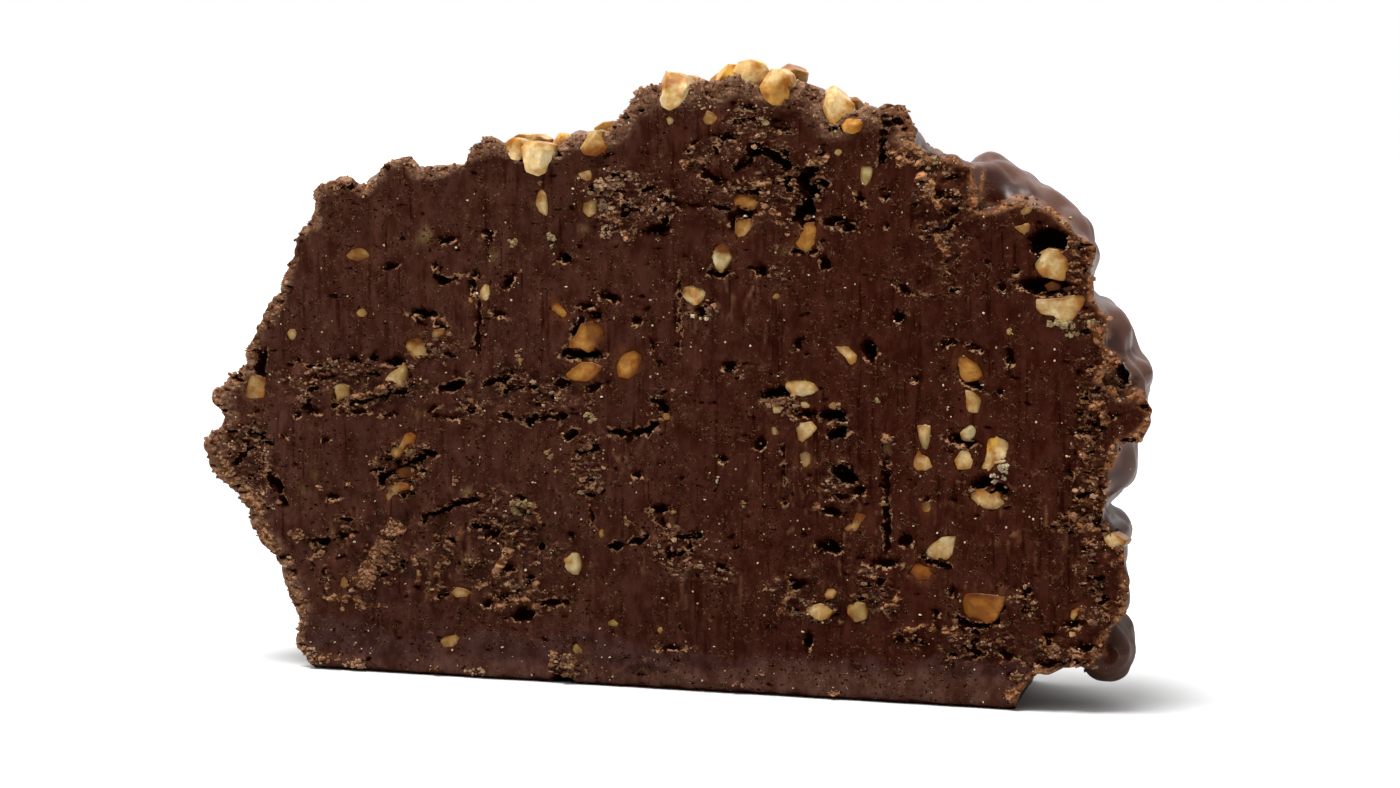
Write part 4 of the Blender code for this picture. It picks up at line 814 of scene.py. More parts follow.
def cut_surface(here, way, pits, cracks, ridges, nuts, dome, tone, rim_tint):
    """How far the points of a cut stand out, their colours, and what the material needs to know of them."""
    x, z = here[:, 0], here[:, 2]
    side_x = x * -way
    ragged = 0.45 * field(here, 3.2, 2.0) + 0.32 * field(here, 1.2, 4.0)
    rim_width = 0.95 + 1.1 * rise(-44.0, -54.0, x) * rise(50.0, 38.0, z) + 1.7 * rise(65.0, 70.0, z)
    edge = distance_to_line(x, z, OUTLINE, closed=True)
    rim = (1.0 - rise(0.2, rim_width, edge + 1.3 * ragged)) * rise(0.8, 2.6, z)
    loose = stretches(side_x, z, CRUMBLY, weighed=True)
    loose = np.maximum(loose, stretches(side_x, z, LIGHTLY_CRUMBLY, 0.5, 1.25) * 0.8)
    crumbly = np.maximum(rise(0.36, 0.88, loose + ragged * 1.35 - 0.05), rim)

    above_base = z - BASE_LAYER_TOP + 0.5 + 2.6 * field(here, 7.0, 33.0)
    drawn = field(here, (0.9, 9.0, 13.0), 1.0) * rise(-0.5, 1.0, above_base)
    relief = 0.05 * (1.0 - crumbly) * drawn + 0.25 * crumbly * (dome - 0.5)
    relief += 0.12 * rise(0.5, -0.6, above_base) - 0.10 * np.exp(-((above_base - 0.5) / 0.4) ** 2)
    relief += crumbly * 0.45 * field(here, (2.0, 2.0, 1.0), 7.0, 3)

    tearing = field(here, (2.4, 3.0, 1.0), 30.0, 3)
    level = 0.72 - 0.42 * crumbly + 0.2 * rim
    tear = rise(level, level + 0.14, tearing) * (0.35 + 0.75 * crumbly)
    tear_edge = (level - tearing) * 2.2
    patch = rise(-0.05, 0.3, field(here, (3.0, 9.0, 5.0), 60.0)) * stretches(side_x, z, DRAGGED, 0.5, 1.1)
    drag = (1.0 - rise(0.02, 0.10, np.abs(field(here, (0.9, 9.0, 4.5), 50.0)))) * patch

    warped_x = x + 0.46 * field(here, 1.1, 8.0) + 0.16 * field(here, 0.42, 12.0)
    warped_z = z + 0.40 * field(here, 1.0, 18.0) + 0.14 * field(here, 0.40, 22.0)
    warped = warped_x, warped_z
    swell = 1.0 + 1.3 * field(here, (1.5, 1.5, 1.3), 70.0)
    hole, torn, below = pits_at(*warped, pits)
    crack, crack_edge = lines_at(*warped, cracks, swell)
    hole = np.maximum(hole, crack)
    below = np.where(crack_edge < torn, 0.55, below)
    torn = np.minimum(torn, crack_edge)
    below = np.where(tear_edge < torn, crumbly, below)
    torn = np.minimum(torn, tear_edge)
    flake = flakes_at(*warped, swell) if way < 0 else np.full(len(x), NO_FLAKE)
    relief += 0.45 * rise(-0.3, 0.35, flake)
    relief += lines_at(*warped, ridges, swell)[0]
    gap = 0.7 * np.maximum(field(here, 1.9, 44.0), 0.0) - 0.28
    socket, ring, smear = nuts_at(x + 0.3 * (warped_x - x), z + 0.3 * (warped_z - z), gap, nuts)
    # The bottom edge is drawn in, and through dark below it is also painted with a contact shadow.
    lower_edge = 0.9 * (1.0 - rise(0.15, 0.6, z + 0.25 * field(here, 2.2, 15.0)))
    proud = face_out(here, way) + relief + 0.2 * drag - np.maximum(hole, socket) - tear - lower_edge

    base = rise(0.7, -0.7, above_base)
    # Painted shade in the pits, cracks and sockets, and a painted contact shadow along the bottom edge.
    dark = np.maximum(hole - 0.3, 0.0) + 0.5 * socket + 1.2 * lower_edge
    marks = crumbly, tone, rim, rim_tint, ring, smear, drag, base, dark
    torn = np.clip(torn, -1.0, 1.5)
    # lit is the side below each pit, crack and tear, where the material paints the lip as lit from above.
    shares = {"crumbly": crumbly, "torn": torn, "lit": below, "flake": flake, "base": base}
    return proud, cut_colours(here, side_x, z, drawn, marks), shares


def shape_body(points, normals, front_nuts, back_nuts):
    """New places of the plain slab's points, their colours, and what the material needs to know of them."""
    outward = normals * (1.0, 0.0, 1.0)
    side = np.linalg.norm(outward, axis=1)
    flatness = np.abs(normals[:, 1])
    facing = np.sign(normals[:, 1])
    grown, draw_in, draw_down, rim, lifted = side_places(points)
    dome, number = grains(points, (1.75, 1.75, 1.25))
    small_dome, small_number = grains(points, 0.72)
    tone = 0.5 * number + 0.5 * small_number
    rim_side = rim * rise(0.15, 0.5, side)
    grown += lifted * rim_side * (0.75 * dome + 0.3 * small_dome - 0.85)

    # The rim's tint is painted darker in the hollows between its grains, as shade, with a random tone for
    # each grain.
    height = 0.6 * dome + 0.4 * small_dome + 0.3 * (tone - 0.5)
    rim_tint = mixed(RIM_LEFT, RIM_ORANGE, rise(28.0, 42.0, points[:, 0])) * (0.45 + 0.9 * height)[:, None]
    # The skin is painted darker towards the bottom, as shade on the lower lobes that face down.
    high = 0.60 + 0.50 * rise(8.0, 60.0, points[:, 2]) + 0.10 * field(points, 5.0, 3.0)
    tint = mixed(np.outer(high, SKIN), rim_tint, rim_side)
    none = np.zeros(len(points))
    shares = {
        "crumbly": rim_side, "torn": none + 1.5, "lit": none.copy(), "flake": none + NO_FLAKE,
        "skin": (1.0 - rim_side) * rise(0.3, 0.7, side), "base": none.copy(),
    }
    proud = none.copy()
    for way, *features in ((-1, PITS, CRACKS, RIDGES, front_nuts), (1, back_pits(), (), (), back_nuts)):
        flat = np.flatnonzero((facing == way) & (flatness > 0.45))
        out, shown, found = cut_surface(points[flat], way, *features, dome[flat], tone[flat], rim_tint[flat])
        proud[flat] = out
        tint[flat] = mixed(tint[flat], shown, rise(0.45, 0.75, flatness[flat]))
        found["crumbly"] = np.maximum(shares["crumbly"][flat], found["crumbly"])
        for name, values in found.items():
            shares[name][flat] = values

    step = np.stack([-draw_in, facing * flatness * proud, -draw_down], 1)
    placed = points + outward * grown[:, None] + step
    placed[:, 2] = np.maximum(placed[:, 2], 0.0)
    return placed, tint, shares


def set_tint(mesh, values):
    attribute = mesh.attributes.new("tint", "FLOAT_COLOR", "POINT")
    rows = np.concatenate([np.clip(values, 0.0, 1.0), np.ones((len(values), 1))], 1)
    attribute.data.foreach_set("color", rows.astype(np.float32).ravel())


def make_body(front_nuts, back_nuts):
    body = link(bpy.data.objects.new("fudge_body", slab_with_lobes()))
    with_modifier(body, "REMESH", (), mode="VOXEL", voxel_size=BODY_VOXEL)
    x, y, _ = vertex_array(body.data).T
    lobes = np.flatnonzero((x > LOBES_BEGIN) & (y > FRONT + 2.0) & (y < BACK - 3.0))
    with_modifier(body, "SMOOTH", ((lobes, 1.0),), factor=0.5, iterations=LOBE_SMOOTHING)

    mesh = body.data
    points = vertex_array(mesh)
    placed, tint, shares = shape_body(points, vertex_array(mesh, "vertex_normals"), front_nuts, back_nuts)
    mesh.vertices.foreach_set("co", placed.ravel())
    set_tint(mesh, tint)
    for name, values in shares.items():
        attribute = mesh.attributes.new(name, "FLOAT", "POINT")
        attribute.data.foreach_set("value", values.astype(np.float32))
    mesh.update()
    front = (points[:, 1] < FRONT + 1.2) & (points[:, 2] > 0.1)
    weights = (np.flatnonzero(~front), 1.0), (np.flatnonzero(front), FRONT_WEIGHT)
    ratio = BODY_TRIANGLES / (2.0 * len(mesh.polygons))
    with_modifier(body, "DECIMATE", weights, ratio=ratio, use_collapse_triangulate=True,
                  vertex_group_factor=FRONT_FACTOR)
    body.data.shade_smooth()
    return body


def chunk(outline, near, far, facing, rng, chips, tilt, starts):
    """A closed block with the outline's form from one y to another, with flat chips broken off the side
    that faces out."""
    bm = bmesh.new()
    rings = [[bm.verts.new((x, y, z)) for x, z in outline] for y in (near, far)]
    bm.faces.new(rings[0])
    bm.faces.new(list(reversed(rings[1])))
    count = len(outline)
    for index in range(count):
        other = (index + 1) % count
        bm.faces.new((rings[0][index], rings[0][other], rings[1][other], rings[1][index]))
    bmesh.ops.recalc_face_normals(bm, faces=bm.faces)
    centre_x, centre_z = (sum(values) / count for values in zip(*outline))
    reach = max(math.hypot(x - centre_x, z - centre_z) for x, z in outline)
    behind = 4 if tilt[1] > 45 else 0
    for number in range(chips + behind):
        turn = rng.uniform(0, 2 * math.pi)
        lean = math.radians(rng.uniform(*tilt))
        start = rng.uniform(*starts) * reach
        way, face = (facing, near) if number < chips else (-facing, far)
        aside = math.sin(lean)
        away = Vector((math.cos(turn) * aside, way * math.cos(lean), math.sin(turn) * aside))
        spot = Vector((centre_x + start * math.cos(turn), face, centre_z + start * math.sin(turn)))
        whole = bm.verts[:] + bm.edges[:] + bm.faces[:]
        cut = bmesh.ops.bisect_plane(bm, geom=whole, plane_co=spot, plane_no=away, clear_outer=True)
        edges = [item for item in cut["geom_cut"] if isinstance(item, bmesh.types.BMEdge)]
        if edges:
            bmesh.ops.holes_fill(bm, edges=edges)
    bmesh.ops.remove_doubles(bm, verts=bm.verts, dist=0.0001)
    bmesh.ops.bevel(bm, geom=bm.edges[:], offset=NUT_BEVEL, segments=1, profile=0.5, affect="EDGES")
    bmesh.ops.triangulate(bm, faces=bm.faces)
    for _ in range(3):
        long = [edge for edge in bm.edges if edge.calc_length() > NUT_LONGEST_EDGE]
        bmesh.ops.subdivide_edges(bm, edges=long, cuts=1)
        bmesh.ops.triangulate(bm, faces=[face for face in bm.faces if len(face.verts) > 3])
    bm.normal_update()
    return arrays(bm)


def arrays(bm):
    """The points, normals and faces of a mesh in the making, which is then let go."""
    points = np.array([vertex.co[:] for vertex in bm.verts])
    normals = np.array([vertex.normal[:] for vertex in bm.verts])
    bm.verts.index_update()
    faces = np.array([[vertex.index for vertex in face.verts] for face in bm.faces])
    bm.free()
    return points, normals, faces


def nut_colours(points, outline, tone, other, side, rng, light):
    """Colours of a nut's points: its tone, going over to the other one on one side, browner at its edge."""
    offset = points - points.mean(0)
    turn = math.radians(side)
    along = offset[:, 0] * math.cos(turn) + offset[:, 2] * math.sin(turn)
    reach = max(np.abs(along).max(), 0.1)
    shift = rng.uniform(0, 50)
    mottle = field(points, 1.3, shift)
    share = rise(0.1, 0.7, along / reach + 0.5 * mottle + 0.6 * field(points, 2.4, shift))
    # light is 1 for the cut nuts; for the nuts on the top it is painted light from above that makes them
    # paler.
    colours = mixed(TONES[tone], TONES[other], share) * light
    streak = field(points, (0.5, 2.0, 1.4), 20.0)
    colours = colours * (1.0 + 0.14 * mottle + 0.12 * streak)[:, None]
    spots = field(points, 1.7, shift + 7.0)
    colours = mixed(colours, colours * TOASTED, 0.85 * rise(0.14, 0.34, spots))
    light_tone = TONES[tone][2] > LIGHT_NUT_BLUE
    if light_tone:
        colours = mixed(colours, colours * BLANCHED, rise(-0.15, -0.40, spots))
    if light > 1.0:
        return colours
    edge = distance_to_line(points[:, 0], points[:, 2], outline, closed=True)
    edge = rise(0.0, 0.55 if light_tone else 1.0, edge + 0.4 * field(points, 1.3, 12.0))
    return mixed(colours, colours * BROWN_EDGE, 0.85 * (1.0 - edge))


def join_parts(name, parts):
    """One object from lists of points, faces and colours."""
    points, faces, colours = zip(*parts)
    starts = np.cumsum([0] + [len(part) for part in points])
    mesh = bpy.data.meshes.new(name)
    joined = np.concatenate([part + start for part, start in zip(faces, starts)])
    mesh.from_pydata(np.concatenate(points).tolist(), [], joined.tolist())
    mesh.validate()
    mesh.update()
    set_tint(mesh, np.concatenate(colours))
    mesh.shade_smooth()
    return link(bpy.data.objects.new(name, mesh))


def make_nuts(name, wanted, chips, tilt, starts, light):
    """wanted: outline, near y, far y, facing, tone, other tone, side, and for some how they are turned."""
    parts = []
    rng = random.Random(11)
    for outline, near, far, facing, tone, other, side, *turned in wanted:
        points, normals, faces = chunk(outline, near, far, facing, rng, rng.randint(*chips), tilt, starts)
        if turned:
            turn, centre = np.array(Euler(turned[0]).to_matrix()), points.mean(0)
            points, normals = (points - centre) @ turn.T + centre, normals @ turn.T
        points += normals * (0.05 * field(points, 1.2, 3.0) + 0.02 * field(points, 0.5, 6.0))[:, None]
        parts.append((points, faces, nut_colours(points, outline, tone, other, side, rng, light)))
    nuts = join_parts(name, parts)
    nuts.data.set_sharp_from_angle(angle=math.radians(NUT_SHARP_ANGLE))
    return nuts


def cut_nut_rows(nuts, facing):
    rows = []
    for outline, tone, other, side, level in nuts:
        if tone != "dim":
            x, z = (sum(values) / len(outline) for values in zip(*outline))
            plain = face_out(np.array([[x, facing * BACK, z]]), facing)[0]
            near = facing * (BACK + plain + (level if level < 0.0 else 0.3 * level))
            rows.append((outline, near, near - facing * NUT_DEPTH, facing, tone, other, side))
    return rows


def top_nut_rows(tree):
    rows = []
    for depth, thick, tone, other, side, *line in TOP_NUTS:
        shift = TOP_NUT_SHIFT * (depth + 0.5 * thick)
        moved = tuple((x - max(0.0, shift - 0.6), z) for x, z in paired(line))
        near = FRONT + depth - 1.0 + 0.15 * max(depth, 0.0)
        rows.append((moved, near, near + thick, -1, tone, other, side))
    rng = random.Random(5)
    for x, y, size in TOP_NUTS_BEHIND:
        hit = tree.ray_cast(Vector((x, y, RAYS_FROM_ABOVE)), Vector((0.0, 0.0, -1.0)))[0]
        outline = blob(rng, x, hit.z + 0.2 * size, size, 0.85 * size)
        tones = rng.choice(TOP_TONES)
        turned = rng.uniform(-0.9, 0.9), rng.uniform(-0.9, 0.9), rng.uniform(0.0, 6.28)
        rows.append((outline, y - 0.45 * size, y + 0.45 * size, -1, *tones, rng.uniform(0, 360), turned))
    return rows


def crumb_shapes(detail, count):
    """A few rough shapes of a crumb, as points and faces."""
    rng = random.Random(2)
    shapes = []
    for _ in range(count):
        bm = bmesh.new()
        bmesh.ops.create_icosphere(bm, subdivisions=detail, radius=0.5)
        shift = rng.uniform(0.0, 90.0)
        for vertex in bm.verts:
            rough = noise.noise(vertex.co * 3.2 + Vector((shift, 0.0, 0.0)))
            vertex.co *= (0.95 + 0.8 * rough) * rng.uniform(0.85, 1.15)
        shapes.append(arrays(bm)[::2])
    return shapes


def make_crumbs(name, wanted):
    """wanted: place, normal, size, colour."""
    rng = random.Random(4)
    plain, rough = crumb_shapes(1, 10), crumb_shapes(2, 14)
    parts = []
    for place, normal, size, colour in wanted:
        points, faces = rng.choice(rough if size > 0.5 else plain)
        turn = Matrix.Rotation(rng.uniform(0, 6.28), 3, "Z") @ Matrix.Rotation(rng.uniform(0, 6.28), 3, "X")
        stretch = rng.uniform(0.8, 1.5), rng.uniform(0.45, 0.9), rng.uniform(0.5, 1.0)
        spot = (points * stretch) @ np.array(turn).T * size + place + normal * size * 0.08
        shade = 1.0 + rng.uniform(-0.22, 0.22)
        # Each crumb is painted darker in its dents, as shade, and lighter on its bumps; the factor before
        # that is the crumb's own random tone.
        shades = shade * (0.86 + 0.5 * (np.linalg.norm(points, axis=1) - 0.4))
        parts.append((spot, faces, np.asarray(colour) * shades[:, None]))
    crumbs = join_parts(name, parts)
    crumbs.data.shade_flat()
    return crumbs


def crumb_rows(tree, mesh):
    """Crumbs by the clusters, then loose ones over everything crumbly, then pale specks."""
    rng = random.Random(6)
    rows = []
    for x, z, wide, tall, count, size, tone in CLUSTERS:
        flaky = tone in FLAKY_TONES
        for _ in range(count // 2 if flaky else count):
            turn = rng.uniform(0, 6.28)
            reach = math.sqrt(rng.random())
            across, up = wide * reach * math.cos(turn), tall * reach * math.sin(turn)
            spot = Vector((x + across, RAYS_FROM_AHEAD, z + up))
            hit, normal = tree.ray_cast(spot, Vector((0.0, 1.0, 0.0)))[:2]
            if hit is None or hit.z < 0.25:
                continue
            colour = mixed([CRUMB_TONES[tone]], CRUMB_TONES["brown"], [rng.uniform(0.0, 0.8)])[0]
            scale = rng.uniform(0.3, 0.9 if flaky else 1.3)
            rows.append((np.array(hit), np.array(normal), size * scale, colour))

    places, normals = vertex_array(mesh), vertex_array(mesh, "vertex_normals")
    loose = np.empty(len(places), np.float32)
    mesh.attributes["crumbly"].data.foreach_get("value", loose)
    tint = np.empty(len(places) * 4, np.float32)
    mesh.attributes["tint"].data.foreach_get("color", tint)
    tint = tint.reshape(-1, 4)[:, :3]
    standing = places[:, 2] > 0.6
    for count, ahead in ((LOOSE_CRUMBS, -1.0), (BACK_CRUMBS, 1.0)):
        can = (loose > 0.6) & (normals[:, 1] * ahead > 0.1) & (places[:, 1] * ahead > 5.0) & standing
        can &= tint[:, 0] > 0.03
        for index in rng.sample(np.flatnonzero(can).tolist(), min(count, int(can.sum()))):
            size = 0.2 + 0.6 * rng.random() ** 3.2
            kind = rng.random()
            tone = "dark" if kind < 0.15 else "brown" if kind < 0.45 else "pink" if kind < 0.8 else "sand"
            colour = mixed([CRUMB_TONES[tone]], tint[index], [rng.uniform(0.0, 0.7)])[0]
            rows.append((places[index], normals[index], size, colour))

    ahead = (normals[:, 1] < -0.5) & (places[:, 1] < -8.0) & standing
    for index in rng.sample(np.flatnonzero(ahead).tolist(), WHITE_SPECKS):
        size = 0.13 + 0.26 * rng.random() ** 2.6
        colour = mixed([TONES["white"]], TONES["tan"], [rng.random() * 0.6])[0]
        rows.append((places[index], normals[index], size, colour))
    return rows


class Value:
    """What a node gives; sums, products, ramps and blends of it make further nodes."""

    def __init__(self, graph, socket):
        self.graph = graph
        self.socket = socket

    def __add__(self, other):
        return self.graph.math("ADD", self, other)

    def __sub__(self, other):
        return self.graph.math("SUBTRACT", self, other)

    def __rsub__(self, other):
        return self.graph.math("SUBTRACT", other, self)

    def __mul__(self, other):
        return self.graph.math("MULTIPLY", self, other)

    def or_more(self, other):
        return self.graph.math("MAXIMUM", self, other)

    def ramp(self, low, high, start=0.0, end=1.0):
        """From start to end while this goes from low to high."""
        inputs = dict(enumerate((self, low, high, start, end)))
        return self.graph.node("MapRange", inputs, 0, interpolation_type="SMOOTHSTEP")

    def between(self, first, second):
        """The first colour where this is 0 and the second where it is 1."""
        return self.graph.node("Mix", {0: self, 6: first, 7: second}, 2, data_type="RGBA")

    def stained(self, colour, share=1.0):
        """This colour multiplied by another, by a share."""
        inputs = {0: share, 6: self, 7: colour}
        return self.graph.node("Mix", inputs, 2, data_type="RGBA", blend_type="MULTIPLY")


class Graph:
    """Short calls for the nodes of a material or a world."""

    def __init__(self, owner):
        self.owner = owner
        owner.use_nodes = True
        self.tree = owner.node_tree

    def set(self, socket, value):
        if isinstance(value, Value):
            self.tree.links.new(value.socket, socket)
        elif socket.type == "RGBA":
            socket.default_value = (*value, 1.0)
        else:
            socket.default_value = value

    def node(self, kind, inputs, *outputs, **settings):
        """A new node's output, or several where several are asked for."""
        node = self.tree.nodes.new("ShaderNode" + kind)
        for name, value in settings.items():
            setattr(node, name, value)
        for name, value in inputs.items():
            self.set(node.inputs[name], value)
        found = [Value(self, node.outputs[name]) for name in outputs]
        return found if len(found) > 1 else found[0]

    def math(self, operation, *values):
        return self.node("Math", dict(enumerate(values)), 0, operation=operation)

    def attribute(self, name, output="Fac"):
        return self.node("Attribute", {}, output, attribute_name=name)

    def place(self, span, up=0.0):
        """Where a point is in millimetres, divided by one span or one along each axis."""
        along, through, high = span if isinstance(span, tuple) else (span, span, span)
        inputs = {
            "Vector": self.node("TexCoord", {}, "Object"),
            "Scale": (1.0 / MM / along, 1.0 / MM / through, 1.0 / MM / high),
            "Location": (0.0, 0.0, up / high),
        }
        return self.node("Mapping", inputs, "Vector")

    def noise(self, span, detail=2.0, roughness=0.5, distortion=0.0, up=0.0):
        inputs = {
            "Vector": self.place(span, up), "Scale": 1.0,
            "Detail": detail, "Roughness": roughness, "Distortion": distortion,
        }
        return self.node("TexNoise", inputs, 0)

    def bump(self, height, distance=MM):
        return self.node("Bump", {"Height": height, "Distance": distance, "Strength": 1.0}, "Normal")

    def shade(self, values, shader="Principled BSDF"):
        for name, value in values.items():
            self.set(self.tree.nodes[shader].inputs[name], value)
        return self.owner


def fudge_material():
    graph = Graph(bpy.data.materials.new("fudge"))
    tint = graph.attribute("tint", "Color")
    names = "crumbly", "skin", "torn", "lit", "flake", "base"
    crumbly, skin, torn, lit, flaked, base = (graph.attribute(name) for name in names)
    x, z = graph.node("SeparateXYZ", {0: graph.node("TexCoord", {}, "Object")}, "X", "Z")
    cut = 1.0 - skin
    rough = crumbly * cut
    smooth = 1.0 - crumbly.or_more(skin)

    # The knife's strokes, and clouds of paler and darker fudge.
    strokes = graph.noise((0.6, 5.0, 9.0), 2.0, 0.6)
    drawn = smooth * graph.noise((4.0, 6.0, 8.0)).ramp(0.36, 0.58) * base.ramp(1.0, 0.0)
    shade = tint.stained(strokes.ramp(0.46, 0.68, 0.97, 1.18))
    shade = strokes.ramp(0.42, 0.33).between(shade, tint.stained(SCORED))
    shaded = drawn.between(tint, shade)
    cloud = graph.noise((2.2, 6.0, 3.4), 6.0, 0.72)
    shaded = shaded.stained(cloud.ramp(0.36, 0.64).between(*CLOUDS), cut)

    # Lit and shaded sides of the small crumbs in the rough stretches.
    ragged = graph.noise((0.75, 0.75, 0.55), 4.0, 0.65)
    flaky, above = (graph.noise((1.25, 1.25, 0.8), 5.0, 0.66, 0.5, up) for up in (0.0, 0.32))
    choice = graph.noise((1.1, 1.1, 0.9), 3.0, 0.55)
    tan = choice.ramp(0.42, 0.60).between(*TORN_AND_LIT_TANS)
    slope = flaky - above
    shaded = (slope.ramp(0.05, 0.12) * rough * 0.8).between(shaded, tan)
    shaded = shaded.stained(CRUMB_SHADOW, slope.ramp(-0.02, -0.10) * rough)
    deep = slope.ramp(-0.08, -0.15) * flaky.ramp(0.52, 0.44) * rough
    shaded = (deep * 0.8).between(shaded, DEEP_SHADOW)

    # Pits: a painted soft shadow round them, a pale broken lip that is painted as lit only on the side below
    # each pit, and the flakes that lie beside them.
    wobble = (ragged - 0.5) * 1.5
    away = torn + wobble
    shaded = shaded.stained(PIT_SHADOW, away.ramp(0.62, 0.02) * cut)
    lip = away.ramp(0.40, 0.22) * away.ramp(0.0, 0.08) * (choice.ramp(0.44, 0.54) * lit)
    shaded = (lip * 0.8).between(shaded, tan)
    over = (flaked + wobble * 1.7).ramp(-0.02, 0.08)
    # The flakes are painted lighter on their sides lit from above and darker on their shaded sides, by the
    # slope, with a random tone besides.
    grain = slope + (choice - 0.5) * 0.5
    shaded = (over * 0.92).between(shaded, grain.ramp(-0.08, 0.12).between(*FLAKE_BROWNS))
    inner = away.ramp(0.06, -0.06) * (1.0 - over)

    # The torn fudge is warmer at the right, and paler at the left end and at the top.
    raised = rough.or_more(over)
    shaded = shaded.stained(WARMER, x.ramp(0.020, 0.045) * cut * raised)
    sides = x.ramp(-0.040, -0.056).or_more(z.ramp(0.046, 0.062))
    shaded = shaded.stained(PALER, sides * cut * raised)

    # Pores and the insides of the pits, painted near black as shade, and pale specks.
    spots = graph.noise((0.55, 0.8, 0.42), 3.0, 0.55)
    patch = graph.noise(4.2).ramp(0.37, 0.55) * smooth
    edge = spots.ramp(0.56, 0.585) * spots.ramp(0.625, 0.600) * patch
    shaded = (edge * 0.45).between(shaded, tan)
    hollow = (spots.ramp(0.595, 0.628) * patch).or_more(inner * cut)
    shaded = (hollow * 0.85).between(shaded, HOLLOW_SHADE)
    inputs = {"Vector": graph.place(0.75), "Scale": 1.0}
    distance, own = graph.node("TexVoronoi", inputs, "Distance", "Color")
    chance, size, paleness = graph.node("SeparateColor", {0: own}, 0, 1, 2)
    speck = graph.math("GREATER_THAN", chance, rough * -0.5 + 0.955) * cut
    speck = speck * graph.math("LESS_THAN", distance, graph.math("MULTIPLY_ADD", size, 0.13, 0.07))
    shaded = (speck * 0.9).between(shaded, paleness.between(*SPECKS))

    height = strokes * (drawn * 0.07) + flaky * (rough * 1.1) - hollow * 0.22
    height = height + edge.or_more(lip) * 0.07 + over * (flaky * 0.9 + 0.2)
    height = height + graph.noise(1.6) * (skin * 0.16)
    return graph.shade({
        "Base Color": shaded,
        "Normal": graph.bump(height),
        "Roughness": 0.62,
        "Specular IOR Level": 0.0,
        "Coat Weight": skin * z.ramp(0.008, 0.030, 0.25, 0.65),
        "Coat Roughness": 0.30,
    })


def nut_material():
    graph = Graph(bpy.data.materials.new("peanut"))
    mottle = graph.noise(0.45, 3.0, 0.6)
    parts = graph.noise((2.0, 2.0, 1.6), 3.0, 0.55, 0.4)
    shaded = graph.attribute("tint", "Color").stained(mottle.ramp(0.3, 0.7, 0.88, 1.10))
    return graph.shade({
        "Base Color": shaded.stained(parts.ramp(0.38, 0.60).between(*NUT_HALVES)),
        "Normal": graph.bump(mottle * 0.08 + parts * 0.05),
        "Roughness": 0.36,
        "Specular IOR Level": 0.1,
        "Subsurface Weight": 0.2,
        "Subsurface Radius": (1.0, 0.5, 0.2),
        "Subsurface Scale": 0.0006,
    })


def crumb_material():
    graph = Graph(bpy.data.materials.new("crumb"))
    mottle = graph.noise(0.3, 2.0, 0.6)
    return graph.shade({
        "Base Color": graph.attribute("tint", "Color").stained(mottle.ramp(0.35, 0.65, 0.7, 1.25)),
        "Normal": graph.bump(mottle, 0.1 * MM),
        "Roughness": 0.75,
        "Specular IOR Level": 0.1,
    })


def floor_material():
    graph = Graph(bpy.data.materials.new("floor"))
    return graph.shade({"Base Color": (0.70, 0.70, 0.70), "Roughness": 0.8, "Specular IOR Level": 0.0})


def add_floor():
    mesh = bpy.data.meshes.new("floor")
    sides = ((-1, -1), (1, -1), (1, 1), (-1, 1))
    corners = [(x * FLOOR_HALF, y * FLOOR_HALF, FLOOR_LEVEL) for x, y in sides]
    mesh.from_pydata(corners, [], [(0, 1, 2, 3)])
    mesh.materials.append(floor_material())
    floor = link(bpy.data.objects.new("floor", mesh))


def add_world():
    """White behind the slice, and a soft light that is dimmer in front of it and near the ground."""
    world = bpy.data.worlds.new("studio")
    bpy.context.scene.world = world
    graph = Graph(world)
    x, y, z = graph.node("SeparateXYZ", {0: graph.node("TexCoord", {}, "Generated")}, "X", "Y", "Z")
    light = z.ramp(-0.2, 0.5, 0.22, 1.20) * y.ramp(-0.5, 0.6, 0.6, 1.4) * x.ramp(-0.3, 0.8, 1.15, 0.45)
    seen = graph.node("LightPath", {}, "Is Camera Ray")
    strength = graph.node("Mix", {0: seen, 2: light, 3: 1.0}, 0)
    graph.shade({"Color": (1.0, 1.0, 1.0), "Strength": strength}, "Background")


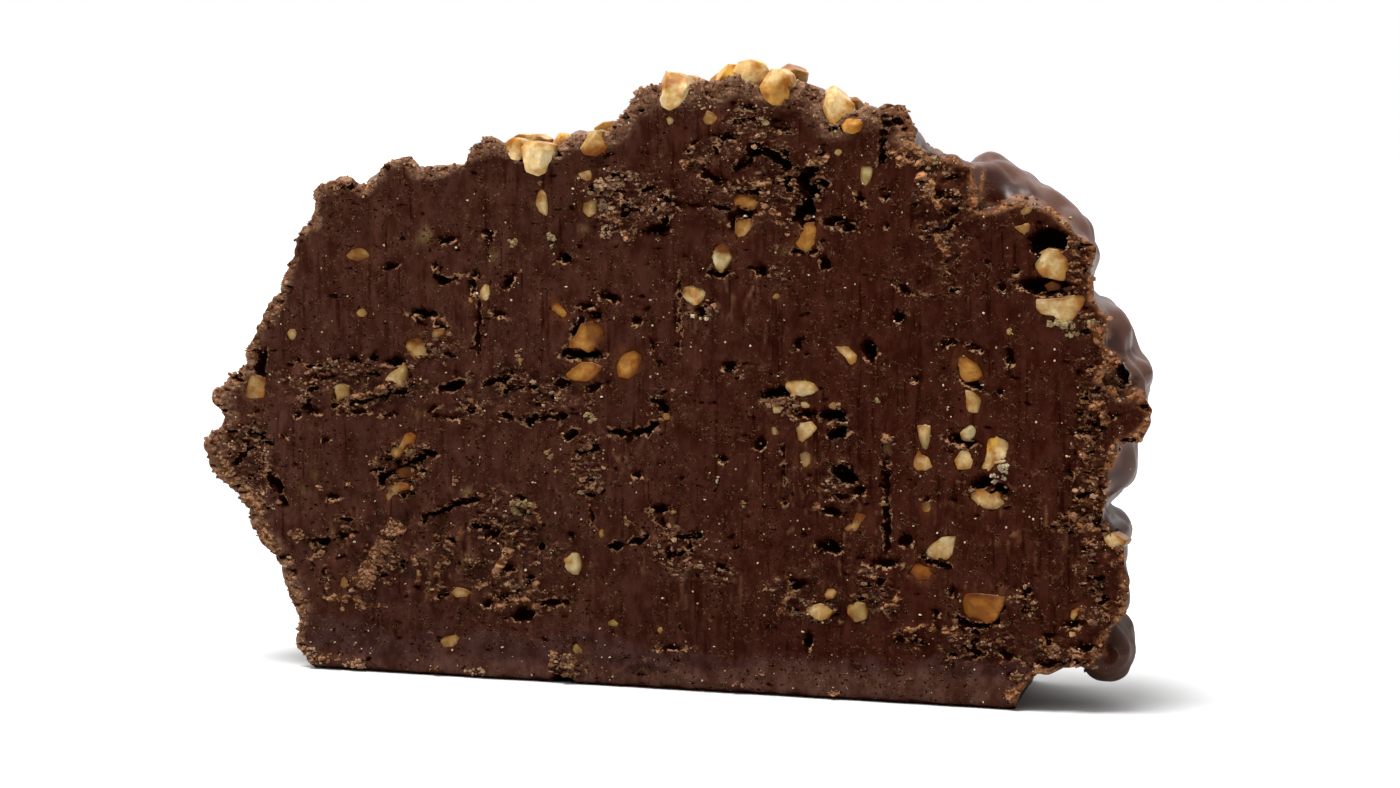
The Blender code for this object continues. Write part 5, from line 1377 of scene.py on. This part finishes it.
def aimed(item, azimuth, elevation):
    """Turns a light or a camera to look from that azimuth and elevation; what comes back points to it."""
    a, e = math.radians(azimuth), math.radians(elevation)
    back = Vector((math.sin(a) * math.cos(e), -math.cos(a) * math.cos(e), math.sin(e)))
    item.rotation_mode = "QUATERNION"
    item.rotation_quaternion = (-back).to_track_quat("-Z", "Y")
    return back


def add_sun():
    light = bpy.data.lights.new("sun", "SUN")
    light.energy = 3.75
    light.angle = math.radians(28.0)
    aimed(link(bpy.data.objects.new("sun", light)), azimuth=-32.0, elevation=75.0)


def add_camera():
    camera = bpy.data.cameras.new("camera")
    camera.sensor_width = 36.0
    camera.lens = 102.857
    camera.clip_start = 0.05
    camera.clip_end = 20.0
    item = link(bpy.data.objects.new("camera", camera))
    back = aimed(item, azimuth=22.0, elevation=4.276)
    item.location = Vector(LOOKED_AT) + back * CAMERA_AWAY
    bpy.context.scene.camera = item


def main():
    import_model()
    front_nuts, back_nuts = all_cut_nuts()
    body = make_body(front_nuts, back_nuts)
    tree = BVHTree.FromObject(body, bpy.context.evaluated_depsgraph_get())
    cut = cut_nut_rows(front_nuts, -1) + cut_nut_rows(back_nuts, 1)
    cut = make_nuts("cut_nuts", cut, chips=(2, 4), tilt=(10, 30), starts=(0.1, 0.6), light=1.0)
    top = top_nut_rows(tree)
    top = make_nuts("top_nuts", top, chips=(5, 7), tilt=(25, 62), starts=(0.1, 0.75), light=TOP_NUT_PAINTED_LIGHT)
    crumbs = make_crumbs("crumbs", crumb_rows(tree, body.data))
    peanut = nut_material()
    for piece, material, slot in (
        (body, fudge_material(), "fudge"),
        (cut, peanut, "nuts"),
        (top, peanut, "nuts"),
        (crumbs, crumb_material(), "fudge"),
    ):
        piece.data.transform(Matrix.Translation(CENTRE_SHIFT))
        piece.data.transform(Matrix.Scale(MM, 4))
        piece.data.update()
        piece.data.materials.clear()
        piece.data.materials.append(material)
        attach(piece, "root")
        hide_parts("fudge")
    add_floor()
    add_world()
    add_sun()
    add_camera()
    bpy.context.scene.view_settings.view_transform = "Standard"


main()
